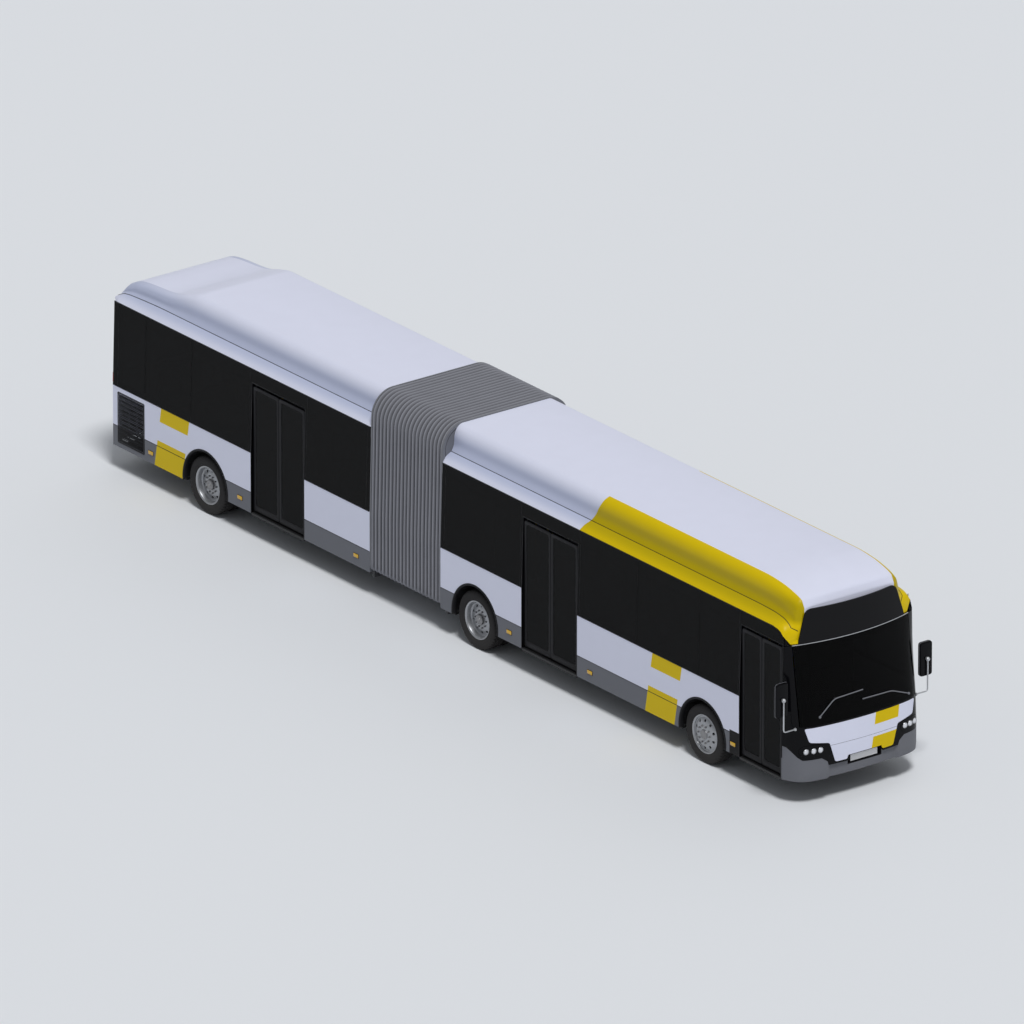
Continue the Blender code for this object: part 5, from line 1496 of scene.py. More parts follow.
    def build_bumper(self) -> None:
        """The grey bumper with raised corners."""
        heights = [self.bumper_z, 0.43, 0.46, 0.50, 0.56, 0.619, 0.70, 0.78, 0.86, 0.94, 1.02]
        low_y, high_y = self.step_y

        def stepped(y: float, z: float) -> float:
            share = min(max((high_y - abs(y)) / (high_y - low_y), 0.0), 1.0)
            return BODY.front_x(y, z) - self.step_back * share * share * (3.0 - 2.0 * share)

        bumper = face_shell(stepped, "bumper_shell", heights, self.half, self.mask_t, 108)
        over = self.line(-1.0)[::-1] + self.line(1.0) + [(1.375, 1.2), (-1.375, 1.2)]
        opened(bumper, [(y, z - 0.003) for y, z in over])
        opened(bumper, rectangle(*self.recess))
        dress(smooth(bumper), Paints.grey, self.body, ("front_bumper",))
        self.build_plate()

    def build_plate(self) -> None:
        """The recess under the panel, with the blank plate in its rim."""
        low, high = self.recess
        outer = block("recess_pan", (8.84, low[0], low[1]), (8.925, high[0], high[1]))
        inner = block("cutter", (8.85, low[0] + 0.01, low[1] + 0.01), (9.1, high[0] - 0.01, high[1] - 0.01))
        dress(smooth(carved(outer, inner)), Paints.trim, self.body)
        start, end = self.plate
        plate = rounded(block("number_plate_blank", (8.906, *start), (8.909, *end)), 0.001)
        rim = block("plate_rim", (8.85, start[0] - 0.01, start[1] - 0.01),
                    (8.907, end[0] + 0.01, end[1] + 0.01))
        rounded(rim, 0.004)
        dress(plate, Paints.plate, self.body)
        dress(carved(rim, block("cutter", (8.90, start[0] + 0.004, start[1] + 0.004),
                                (9.0, end[0] - 0.004, end[1] - 0.004))), Paints.trim, self.body)

    def build_lamps(self, hand: Hand) -> None:
        """One headlamp cluster: a black oval housing with three round lamps."""
        side = float(hand.value)
        housing = panel_on(BODY.front_x, f"lamp_housing_{hand.word}", self.housing(side, 0.0), 0.004, 0.05,
                           0.02)
        for y in self.lamps_y:
            x = BODY.front_x(y, self.lamp_z)
            carved(housing, drum("cutter", (x, side * y, self.lamp_z), "X", self.lamp_r + 0.002, 0.06, 32))
        dress(smooth(housing), Paints.black, self.body, (f"headlamp_{hand.word}",))
        bowls, lenses, bezels = [], [], []
        for y in self.lamps_y:
            x = BODY.front_x(y, self.lamp_z)
            r = self.lamp_r
            place = Matrix.Translation((x, side * y, self.lamp_z)) @ Matrix.Rotation(-pi / 2, 4, "Z")
            bowl = turned("bowl", [(0.0, -0.034), (r * 0.5, -0.030), (r * 0.9, -0.012), (r, 0.002), (r * 0.94, 0.002),
                                   (r * 0.84, -0.010), (r * 0.46, -0.025), (0.0, -0.029)], steps=32)
            lens = turned("lens", [(0.0, 0.010), (r * 0.5, 0.008), (r * 0.86, 0.001), (r * 0.86, -0.003),
                                   (0.0, 0.005)], steps=32)
            bezel = turned("bezel", [(r * 0.86, -0.004), (r * 0.90, 0.006), (r * 0.98, 0.008), (r + 0.002, 0.004),
                                     (r + 0.002, -0.010), (r * 0.9, -0.010)], steps=32)
            for piece, group in ((bowl, bowls), (lens, lenses), (bezel, bezels)):
                piece.data.transform(place)
                group.append(piece)
        dress(joined(f"lamp_bowls_{hand.word}", bowls), Paints.rod, self.body)
        dress(joined(f"lamp_lenses_{hand.word}", lenses), Paints.lens, self.body)
        dress(joined(f"lamp_bezels_{hand.word}", bezels), Paints.rod, self.body)

    def build_wipers(self) -> None:
        """Two wipers at rest, each an arm and a blade on the screen."""
        arms, blades = [], []
        for pivot, elbow, tip in (
            ((0.93, 1.39), (0.56, 1.54), (-0.02, 1.555)), ((-0.81, 1.43), (-0.54, 1.67), (0.0, 1.70)),
        ):
            spots = [(BODY.front_x(y, z) + out, y, z) for (y, z), out in
                     ((pivot, 0.012), (elbow, 0.030), (tip, 0.022))]
            arms.append(tube("arm", bend(spots, 0.06), 0.009, 8))
            arms.append(turned("cap", [(0.0, 0.02), (0.018, 0.017), (0.022, 0.0), (0.0, 0.0)], steps=16))
            arms[-1].data.transform(Matrix.Translation(spots[0]) @ Matrix.Rotation(-pi / 2, 4, "Z"))
            ys = even(*sorted((elbow[0], tip[0])), 12)
            path = [(BODY.front_x(y, tip[1] - 0.02) + 0.012, y, tip[1] - 0.02) for y in ys]
            blades.append(tube("blade", path, 0.008, 6))
        dress(joined("wiper_arms", arms), Paints.hem, self.body)
        dress(joined("wiper_blades", blades), Paints.seal, self.body)

    def build_mirror(self, hand: Hand) -> None:
        """One hanging mirror: rod, ball joint, rounded housing, edge band and glass."""
        side = hand.value
        middle_y = side * self.mirror_y
        outer, inner = self.mirror_half
        outline = round_corners(rectangle((middle_y - outer, 1.51), (middle_y + outer, 2.07)), 0.05, 6)
        shell = prism(f"mirror_housing_{hand.word}", outline, "X", 8.632, 8.71)
        rounded(shell, 0.018, 4, 60.0)
        dress(shell, Paints.black, self.body, (f"mirror_{hand.word}",))
        band = [(self.mirror_x, y, z) for y, z in (*outline, outline[0])]
        dress(tube(f"mirror_edge_{hand.word}", band, 0.004, 6), Paints.hem, self.body)
        outline = round_corners(rectangle((middle_y - inner, 1.53), (middle_y + inner, 2.05)), 0.04, 6)
        glass = rounded(prism(f"mirror_glass_{hand.word}", outline, "X", 8.630, 8.636), 0.0015)
        dress(glass, Paints.mirror, self.body)
        rod_x = self.rod_x
        low, high = self.rod_z
        foot = self.face_y(rod_x - 0.013, low)
        path = bend([(rod_x, side * (foot - 0.03), low), (rod_x, middle_y, low),
                     (rod_x, middle_y, high)], 0.05)
        rod = tube("rod", path, 0.012, 12)
        deselect_all()
        bpy.ops.mesh.primitive_uv_sphere_add(segments=20, ring_count=12, radius=0.036,
                                             location=(rod_x, middle_y, high))
        ball = settle(bpy.context.object)
        clamp = block("clamp", (8.70, middle_y - 0.02, 1.775), (rod_x, middle_y + 0.02, 1.825))
        rounded(clamp, 0.006)
        profile = [(0.0, -0.01), (0.026, -0.01), (0.026, 0.006), (0.015, 0.02), (0.0, 0.02)]
        foot_disc = turned("foot", profile, steps=20)
        if side < 0:
            foot_disc.data.transform(Matrix.Rotation(pi, 4, "Z"))
        foot_disc.data.transform(Matrix.Translation((rod_x, side * (foot - 0.002), low)))
        pieces = [rod, ball, clamp, foot_disc]
        dress(smooth(joined(f"mirror_rod_{hand.word}", pieces)), Paints.rod, self.body)

    def face_y(self, x: float, z: float) -> float:
        """How far out the front face lies at a place along the bus."""
        low, high = 0.0, BODY.wall_y(z)
        for _ in range(40):
            middle = (low + high) / 2
            if BODY.front_x(middle, z) > x:
                low = middle
            else:
                high = middle
        return low


@dataclass(frozen=True)
class RearPaint(Finish):
    """The rear's paint: white over grey corners and a grey bumper."""

    grey: Colour = GREY
    bumper_z: float = 0.76
    corner_z: float = 1.45
    corner_y: float = 0.98

    def colour_socket(self, bench: NodeBench) -> bpy.types.NodeSocket:
        """White or grey, from the place on the rear."""
        _, y, z = bench.place()
        low = bench.math("LESS_THAN", z, self.bumper_z)
        corner = bench.math("GREATER_THAN", bench.math("ABSOLUTE", y), self.corner_y)
        corner = bench.math("MULTIPLY", corner, bench.math("LESS_THAN", z, self.corner_z))
        return bench.mix(bench.math("MAXIMUM", low, corner), self.colour, self.grey)


@dataclass
class RearEnd:
    """The tail: panel, window, lamps, engine lid, grille mesh and the engine behind it."""

    body: str = Section.REAR.value
    glass_half: float = 1.0
    glass_z: Pair = (1.55, 2.55)
    grille_x: Pair = (-8.64, -7.95)
    grille_z: Pair = (0.50, 1.34)
    skin_back: float = 0.006
    corner_r: float = 0.09
    lamp_y: Pair = (1.06, 1.185)
    lid: tuple[Pair, Pair] = ((-0.92, 0.80), (0.92, 1.46))
    plate: tuple[Pair, Pair] = ((-0.26, 0.84), (0.26, 0.95))
    louvres: int = 7

    def build(self) -> None:
        """Builds the tail."""
        self.build_panel()
        self.build_window()
        self.build_lamps()
        self.build_lid()
        self.build_grille()
        self.build_engine()

    def skin(self, y: float, z: float) -> float:
        """Where the rear skin lies, a little inside the CAD's face so that trim stays within it."""
        return BODY.rear_x(y, z) + self.skin_back

    def build_panel(self) -> None:
        """The rear panel with its window opening."""
        paint = RearPaint("rear_paint", SKY_TINTED_WHITE, 0.32, coat=0.5, grain_depth=0.01, tone_depth=0.02,
                          dust=0.5, dust_reach=2.2)
        heights = [0.40, 0.44, 0.6, 0.8, 1.0, 1.2, 1.30, 1.44, 1.6, 1.8, 2.0, 2.2, 2.4, 2.6, 2.75, 2.8397]
        panel = face_shell(self.skin, "rear_panel", heights, lambda z: BODY.wall_y(z) - 0.001, 0.035, 72)
        low, high = self.glass_z
        half = self.glass_half
        opened(panel, round_corners(rectangle((-half, low), (half, high)), self.corner_r, 6), TAIL_CUT)
        dress(smooth(panel), paint, self.body, ("rear_end",))

    def build_window(self) -> None:
        """The rear window in its rubber."""
        low, high = self.glass_z
        outline = round_corners(rectangle((-0.999, low), (0.999, high)), self.corner_r, 6)
        glass = panel_on(self.skin, "rear_window_glass", outline, -0.004, 0.016, 0.05)
        dress(smooth(glass), Paints.glass, self.body, ("rear_window",))
        path = [(self.skin(y, z) - 0.001, y, z) for y, z in outline]
        dress(tube("rear_window_rubber", path + [path[0]], 0.012, 8), Paints.seal, self.body)

    def build_lamps(self) -> None:
        """The tail lamps at the corners, with their lower clusters."""
        red, amber = [], []
        stack = ((1.47, 1.62, red), (1.05, 1.13, red), (0.94, 1.02, amber), (0.83, 0.91, red))
        inner_y, outer_y = self.lamp_y
        for side in (-1.0, 1.0):
            for low, high, group in stack:
                outline = round_corners(rectangle((side * inner_y, low), (side * outer_y, high)), 0.02, 4)
                group.append(panel_on(self.skin, "lamp", outline, 0.014, 0.004, 0.02))
            corner = []
            for z in spread(1.48, 1.62, 0.02):
                shares = spread(0.955, 0.9995, 0.005)
                outer = [(self.skin(s * BODY.wall_y(z), z) - 0.006, side * (s * BODY.wall_y(z) + 0.004), z)
                         for s in shares]
                inner = [(self.skin(s * BODY.wall_y(z), z) + 0.012, side * (s * BODY.wall_y(z) - 0.01), z)
                         for s in shares]
                corner.append(outer + inner[::-1])
            red.append(shaped_grid("lamp", corner, ring=True, capped=True))
        dress(smooth(joined("tail_lamps_red", red)), Paints.red, self.body)
        dress(smooth(joined("tail_lamps_amber", amber)), Paints.amber, self.body)

    def build_lid(self) -> None:
        """The engine lid's joint, its louvres and the blank rear plate."""
        outline = round_corners(rectangle(*self.lid), 0.05, 6)
        path = [(self.skin(y, z) - 0.001, y, z) for y, z in outline]
        dress(tube("engine_lid_joint", path + [path[0]], 0.005, 6), Paints.trim, self.body)
        louvres = []
        for i in range(self.louvres):
            z = 1.06 + i * 0.05
            slat = round_corners(rectangle((-0.55, z), (0.55, z + 0.028)), 0.012, 3)
            louvres.append(panel_on(self.skin, "louvre", slat, 0.005, 0.004, 0.08))
        dress(smooth(joined("engine_lid_louvres", louvres)), Paints.trim, self.body)
        outline = round_corners(rectangle(*self.plate), 0.01, 3)
        plate = panel_on(self.skin, "rear_plate_blank", outline, 0.004, 0.004, 0.08)
        dress(smooth(plate), Paints.plate, self.body)

    def build_grille(self) -> None:
        """The black mesh over the engine's side opening."""
        bars_x = spread(*self.grille_x, 0.028)
        bars_z = spread(*self.grille_z, 0.028)
        face = -BODY.half_w
        frame_bars = [
            ((self.grille_x[0], face - 0.006, z - 0.012), (self.grille_x[1], face + 0.006, z + 0.012))
            for z in self.grille_z
        ]
        frame_bars += [
            ((x - 0.012, face - 0.006, self.grille_z[0]), (x + 0.012, face + 0.006, self.grille_z[1]))
            for x in self.grille_x
        ]
        dress(bars("grille_frame", frame_bars, 0.003), Paints.trim, self.body)
        wires = [((x - 0.0045, face - 0.002, self.grille_z[0]), (x + 0.0045, face + 0.004, self.grille_z[1]))
                 for x in bars_x[1:-1]]
        wires += [((self.grille_x[0], face - 0.003, z - 0.0045), (self.grille_x[1], face + 0.003, z + 0.0045))
                  for z in bars_z[1:-1]]
        dress(bars("grille_mesh", wires, 0.0012), Paints.black, self.body)

    def build_engine(self) -> None:
        """The engine: block, head, sump, ribs, belt wheels and pipes."""
        parts = [
            rounded(block("engine_dressed", (-8.50, -0.42, 0.60), (-7.42, 0.42, 0.86)), 0.02),
            rounded(block("head", (-8.42, -0.24, 0.86), (-7.50, 0.24, 0.926)), 0.02),
            rounded(block("sump", (-8.30, -0.30, 0.485), (-7.60, 0.30, 0.60)), 0.03),
        ]
        for i in range(8):
            x = -8.40 + i * 0.125
            parts.append(rounded(block("rib", (x, -0.45, 0.62), (x + 0.02, 0.45, 0.84)), 0.004))
        for z, radius in ((0.62, 0.09), (0.80, 0.06)):
            wheel = turned("belt_wheel", [(0.0, -0.03), (radius, -0.03), (radius * 0.86, 0.0), (radius, 0.03),
                                          (0.0, 0.03)], steps=28)
            wheel.data.transform(Matrix.Translation((-8.54, 0.0, z)) @ Matrix.Rotation(pi / 2, 4, "Z"))
            parts.append(wheel)
        for y in (-0.34, 0.34):
            path = bend([(-8.40, y, 0.88), (-7.60, y, 0.88), (-7.36, y, 0.74), (-7.36, y, 0.56)], 0.08)
            parts.append(tube("pipe", path, 0.03, 12))
        fan = turned("fan_ring", [(0.26, -0.03), (0.29, -0.03), (0.29, 0.03), (0.26, 0.03)], steps=40)
        fan.data.transform(Matrix.Translation((-8.28, -0.84, 0.77)) @ Matrix.Diagonal((0.6, 1.0, 0.6, 1.0)))
        parts.append(fan)
        parts.append(rounded(block("radiator", (-8.56, -0.90, 0.56), (-8.0, -0.86, 0.92)), 0.006))
        parts.append(rounded(block("mount", (-8.2, -0.88, 0.56), (-7.9, -0.40, 0.60)), 0.006))
        dress(joined("engine_dressed", parts), Paints.engine, self.body, ("engine",))


@dataclass
class DoorWay:
    """One doorway: two leaves with glass, rubber edges and grab rails, and the frame round them."""

    node: str
    section: Section
    start: float
    end: float
    jamb_gap: float = 0.018
    leaf_gap: float = 0.012
    leaf_z: float = 0.460
    leaf_top: float = 2.560
    face_y: float = 1.239
    frame_w: float = 0.05
    post_w: float = 0.016
    head_z: float = 2.605

    @property
    def width(self) -> float:
        """The width of one leaf."""
        return (self.end - self.start - 2 * self.jamb_gap - self.leaf_gap) / 2

    def build(self) -> None:
        """Builds both leaves and the frame."""
        low = self.start + self.jamb_gap
        high = self.end - self.jamb_gap
        self.build_leaf("rear", low, low + self.width, 1)
        self.build_leaf("front", high - self.width, high, -1)
        self.build_frame()
        for part in ("rear", "front"):
            finish_node(f"{self.node}_{part}_arm", Paints.steel)

    def build_leaf(self, part: str, low: float, high: float, meets: int) -> None:
        """One leaf of the door.

        Args:
            part: rear or front.
            low: where the leaf starts.
            high: where it ends.
            meets: 1 where its high end meets the other leaf, and -1 where its low end does.
        """
        body = f"{self.node}_{part}_leaf"
        face = -self.face_y
        outline = round_corners(rectangle((low, self.leaf_z), (high, self.leaf_top)), 0.035, 5)
        frame_piece = prism(f"{body}_frame", outline, "Y", face, face + 0.034)
        lower, upper = self.leaf_z + 0.09, self.leaf_top - self.frame_w
        opening = round_corners(rectangle((low + self.frame_w, lower), (high - self.frame_w, upper)), 0.05, 6)
        carved(frame_piece, prism("cutter", opening, "Y", face - 0.1, face + 0.1))
        rounded(frame_piece, 0.004, 2)
        middle = (low + high) / 2
        brackets = []
        for z in (self.leaf_z, self.leaf_top - 0.04):
            bracket = block("bracket", (middle - 0.03, face + 0.03, z),
                            (middle + 0.03, face + 0.105, z + 0.04))
            brackets.append(rounded(bracket, 0.004))
        dress(joined(frame_piece.name, [frame_piece, *brackets]), Paints.trim, body, (body,))
        corners = rectangle((low + self.frame_w - 0.006, lower - 0.006),
                            (high - self.frame_w + 0.006, upper + 0.006))
        glass = prism(f"{body}_glass", round_corners(corners, 0.05, 6), "Y", face + 0.005, face + 0.013)
        dress(glass, Paints.glass, body)
        line = [(x, face + 0.0035, z) for x, z in opening]
        dress(tube(f"{body}_seal", line + [line[0]], 0.006, 6), Paints.seal, body)
        edge = high if meets > 0 else low
        rubber = block(f"{body}_edge", (edge - 0.004, face + 0.004, self.leaf_z + 0.02),
                       (edge + 0.004, face + 0.030, self.leaf_top - 0.02))
        dress(rounded(rubber, 0.003, 2), Paints.seal, body)
        rail_x = edge - meets * 0.035
        rail = bend([(rail_x, face + 0.032, 0.95), (rail_x, face + 0.075, 0.95), (rail_x, face + 0.075, 1.75),
                     (rail_x, face + 0.032, 1.75)], 0.03)
        dress(tube(f"{body}_rail", rail, 0.012, 10), Paints.pole, body)

    def build_frame(self) -> None:
        """The door's surround on the wall, and the sill's edge strip."""
        body = self.section.value
        width = BODY.half_w
        top = self.head_z
        pieces = [
            block("upright", (x - before, -width - 0.002, BODY.skirt_z), (x + after, -width + 0.030, 1.44))
            for x, before, after in ((self.start, self.post_w, 0.0), (self.end, 0.0, self.post_w))
        ]
        upper = []
        for x in (self.start - self.post_w, self.end):
            outline = [(-BODY.wall_y(z) + depth, z) for z, depth in
                       ((1.44, -0.002), (1.44, 0.03), (top + 0.012, 0.03), (top + 0.012, -0.002))]
            upper.append(prism("upright", outline, "X", x, x + self.post_w))
        head_y = -BODY.wall_y(top)
        head = block("head", (self.start - self.post_w, head_y - 0.002, top),
                     (self.end + self.post_w, head_y + 0.03, top + 0.014))
        dress(rounded(joined(f"{self.node}_surround", pieces + upper + [head]), 0.002), Paints.trim, body)
        sill = block(f"{self.node}_sill_edge", (self.start + 0.02, -1.232, 0.4255),
                     (self.end - 0.02, -1.18, 0.4285))
        dress(rounded(sill, 0.001), Paints.trim, body)


class WheelKind(Enum):
    """How a wheel is made: a single wheel with its disc outside, or deep twin wheels."""

    SINGLE = "single"
    TWIN = "twin"


@dataclass
class Wheel:
    """One wheel station: tyre or twin tyres, rim with hand holes, nuts and hub."""

    body: str
    hand: Hand
    axle_x: float
    kind: WheelKind
    middle_y: float = 1.112
    radius: float = 0.4785
    shift: float = 0.316
    pitches: int = 46
    nuts: int = 10
    nut_circle: float = 0.1675
    hole_circle: float = 0.222

    def build(self) -> None:
        """Builds the wheel outwards along +Y about the origin, then carries it to its place."""
        tyre = self.build_tyre()
        rim = self.build_rim()
        hub = self.build_hub()
        place = Matrix.Translation((self.axle_x, self.hand.value * self.middle_y, TYRE_R))
        place = place @ Matrix.Diagonal((1.0, self.hand.value, 1.0, 1.0))
        for piece in (tyre, rim, hub):
            piece.data.transform(place)
            if self.hand is Hand.RIGHT:
                piece.data.flip_normals()
        dress(tyre, Paints.tyre, self.body, (f"{self.body}_tyre",))
        dress(rim, Paints.rim, self.body, (f"{self.body}_rim",))
        dress(hub, Paints.steel, self.body)

    def tyre_profile(self) -> list[Pair]:
        """The tyre's section as (radius, y), from the inner bead round the tread to the outer bead."""
        top = self.radius
        half: list[Pair] = [(top, 0.004)]
        for groove in (0.030, 0.072):
            half += [(top, groove - 0.006), (top - 0.012, groove - 0.004), (top - 0.012, groove + 0.004),
                     (top, groove + 0.006)]
        half += [
            (top - 0.001, 0.098), (top - 0.005, 0.110), (0.462, 0.121), (0.445, 0.1285), (0.425, 0.134),
            (0.40, 0.1375), (0.3975, 0.1368), (0.392, 0.1378), (0.37, 0.1372), (0.35, 0.1330), (0.3475, 0.1315),
            (0.344, 0.1312), (0.33, 0.1235), (0.318, 0.114), (0.306, 0.109), (0.2995, 0.106),
        ]
        return [(r, -y) for r, y in reversed(half)] + half

    def build_tyre(self) -> bpy.types.Object:
        """The tyre, with cut grooves and blocks along its shoulders."""
        profile = self.tyre_profile()
        rows = []
        for pitch in range(self.pitches):
            for share, deep in ((0.0, 1.0), (0.13, 1.0), (0.17, 0.0), (0.96, 0.0)):
                turn = 2 * pi * (pitch + share) / self.pitches
                row = []
                for radius, y in profile:
                    shoulder = abs(y) > 0.079 and radius > 0.455
                    cut = 0.009 * deep if shoulder else 0.0
                    lean = 0.02 * (abs(y) - 0.079) if shoulder else 0.0
                    spin = turn + lean
                    row.append(((radius - cut) * cos(spin), y, (radius - cut) * sin(spin)))
                rows.append(row)
        name = f"{self.body}_dressed_tyre"
        tyre = smooth(shaped_grid(name, rows, ring=True, looped=True), 30.0)
        if self.kind is WheelKind.SINGLE:
            return tyre
        return repeated(tyre, [Matrix.Identity(4), Matrix.Translation((0.0, -self.shift, 0.0))], name)

    def build_rim(self) -> bpy.types.Object:
        """The rim with its disc and hand holes."""
        lip: list[Pair] = [
            (0.3005, 0.100), (0.3135, 0.1075), (0.3165, 0.1135), (0.3150, 0.1180), (0.3090, 0.1190), (0.3000, 0.1160),
            (0.2920, 0.1080), (0.2860, 0.0960),
        ]
        if self.kind is WheelKind.SINGLE:
            disc: list[Pair] = [
                (0.2840, 0.088), (0.2700, 0.0860), (0.2560, 0.0940), (0.2380, 0.1040), (0.2000, 0.1170),
                (0.1500, 0.1280), (0.1350, 0.1300), (0.0980, 0.1300), (0.0560, 0.1300), (0.0560, 0.110),
                (0.1350, 0.1180), (0.2350, 0.092), (0.2600, 0.076), (0.2720, 0.070),
            ]
            inner_end = -0.1125
        else:
            disc = [
                (0.2835, 0.0600), (0.2790, 0.0300), (0.2660, 0.0160), (0.2500, 0.0120), (0.2200, 0.0200),
                (0.1900, 0.0340), (0.1500, 0.0440), (0.1350, 0.0450), (0.0980, 0.0450), (0.0560, 0.0450),
                (0.0560, 0.0300), (0.1350, 0.0330), (0.1900, 0.0200), (0.2250, 0.0050), (0.2600, -0.002),
                (0.2720, -0.004),
            ]
            inner_end = -0.1125 - self.shift
        back: list[Pair] = [
            (0.2720, -0.010), (0.2840, -0.020), (0.2845, inner_end + 0.02), (0.2900, inner_end + 0.004),
            (0.3140, inner_end - 0.002), (0.3140, inner_end + 0.004), (0.3005, inner_end + 0.012),
        ]
        rim = turned(f"{self.body}_dressed_rim", lip + disc + back, steps=60)
        holes = []
        for i in range(self.nuts):
            turn = 2 * pi * (i + 0.5) / self.nuts
            middle = (self.hole_circle * cos(turn), 0.05, self.hole_circle * sin(turn))
            holes.append(drum("cutter", middle, "Y", 0.023, 0.4, 20))
        carved(rim, joined("cutter", holes))
        return smooth(rim, 32.0)

    def build_hub(self) -> bpy.types.Object:
        """The wheel nuts with their studs, and the hub's cover."""
        single = self.kind is WheelKind.SINGLE
        face = 0.130 if single else 0.045
        circle = self.nut_circle * 0.83
        nut = rounded(drum("nut", (circle, face + 0.009, 0.0), "Y", 0.0165, 0.020, 6), 0.002, 1)
        stud = rounded(drum("stud", (circle, face + 0.016, 0.0), "Y", 0.009, 0.026, 12), 0.002, 1)
        turns = [Matrix.Rotation(2 * pi * i / self.nuts, 4, "Y") for i in range(self.nuts)]
        nuts = repeated(joined("nuts", [nut, stud]), turns, "nuts")
        if single:
            profile = [(0.0, 0.1480), (0.040, 0.1478), (0.066, 0.1450), (0.078, 0.1380), (0.082, 0.1290),
                       (0.082, 0.1060), (0.0, 0.1060)]
            count, circle, top = 6, 0.062, 0.1455
        else:
            profile = [(0.0, 0.0980), (0.030, 0.0980), (0.034, 0.0900), (0.074, 0.0880), (0.084, 0.0800),
                       (0.088, 0.0500), (0.104, 0.0480), (0.104, 0.0400), (0.0, 0.0400)]
            count, circle, top = 8, 0.062, 0.0890
        cover = turned("cover", profile, steps=40)
        bolt = rounded(drum("bolt", (circle, top + 0.002, 0.0), "Y", 0.006, 0.006, 6), 0.001, 1)
        turns = [Matrix.Rotation(2 * pi * i / count, 4, "Y") for i in range(count)]
        bolts = repeated(bolt, turns, "bolts")
        return smooth(joined(f"{self.body}_hub", [cover, nuts, bolts]), 32.0)


@dataclass
class Bellows:
    """The folded cloth tube between the sections, with its clamping frames."""

    start: float = -2.0097
    end: float = -0.1643
    pleats: int = 20
    depth: float = 0.055
    cloth_t: float = 0.010
    foot_z: float = 0.44
    top_z: float = 3.44
    corner_r: float = 0.42
    per_pleat: int = 8
    plate_z: float = 2.82

    def build(self) -> None:
        """Builds the cloth and its frames."""
        self.build_cloth()
        self.build_hems()

    def fold(self, place: float) -> float:
        """How deep the cloth lies at a place, in pleats from the rear end: sharp valleys and round ridges."""
        return self.depth * abs(cos(pi * place)) ** 1.7

    def ring(self, x: float, inset: float, sag: float) -> list[Point]:
        """One cross-section of the tube."""
        side = BODY.half_w - inset
        top = self.top_z - inset
        foot = self.foot_z + inset
        radius = self.corner_r - inset
        middle = (side - BODY.lean - radius, top - radius)
        rise = even(foot + 0.05, BODY.belt_z, 8)
        right = [(side - sag * sin(pi * (z - foot) / 2.4), z) for z in rise]
        upper = even(BODY.belt_z, middle[1], 12)[1:]
        for z in upper[:-1]:
            share = (z - BODY.belt_z) / (middle[1] - BODY.belt_z)
            right.append((side - BODY.lean * share - sag * sin(pi * (z - foot) / 2.4), z))
        right += arc(middle, radius, 0, 90, 14)
        flat = even(0.0, middle[0], 5)[::-1][1:-1]
        crown = [(y, top - sag * 0.5 * cos(pi * y / 2.4)) for y in flat]
        half = right + crown
        outline = half + [(0.0, top - sag * 0.5)] + [(-y, z) for y, z in reversed(half)]
        outline += [(-side + 0.05, foot), (0.0, foot + 0.3 * sag), (side - 0.05, foot)]
        return [(x, y, z) for y, z in outline]

    def build_cloth(self) -> None:
        """The pleated cloth, two walls thick."""
        count = self.pleats * self.per_pleat
        outer, inner = [], []
        for i in range(count + 1):
            place = i / self.per_pleat
            x = self.start + (self.end - self.start) * i / count
            inset = self.fold(place)
            sag = 0.0035 * (1 + sin(2.1 * place + 0.6)) * (1.0 - inset / self.depth)
            outer.append(self.ring(x, inset, sag))
            inner.append(self.ring(x, inset + self.cloth_t, sag))
        cloth = shaped_grid("bellows_cloth", outer + inner[::-1], ring=True, looped=True)
        # The fold depth kept here drives the painted shade in the cloth's folds.
        depths = cloth.data.attributes.new("fold_depth", "FLOAT", "POINT")
        for vertex, item in zip(cloth.data.vertices, depths.data):
            place = (vertex.co.x - self.start) / (self.end - self.start) * self.pleats
            item.value = self.fold(place) / self.depth
        dress(smooth(cloth, 60.0), Paints.bellows, None, ("bellows",))
        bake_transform(cloth)

    def build_hems(self) -> None:
        """The frames that clamp the cloth to each section, each with its plate over the ceiling."""
        for x, reach, section in ((self.end, 0.030, Section.FRONT), (self.start, -0.030, Section.REAR)):
            rows = []
            for inset, place in ((0.050, x + reach * 0.2), (0.004, x + reach * 0.2), (0.004, x - reach * 0.8),
                                 (0.050, x - reach * 0.8)):
                rows.append(self.ring(place, inset, 0.0))
            name = f"bellows_hem_{section.name.lower()}"
            hem = shaped_grid(name, rows, ring=True, looped=True)
            outline = [(y, z) for _, y, z in self.ring(x, 0.046, 0.0) if z > self.plate_z]
            low, high = sorted((x - reach * 0.13, x - reach * 0.73))
            hem = joined(name, [hem, prism("plate", outline, "X", low, high)])
            dress(smooth(hem), Paints.hem, section.value)


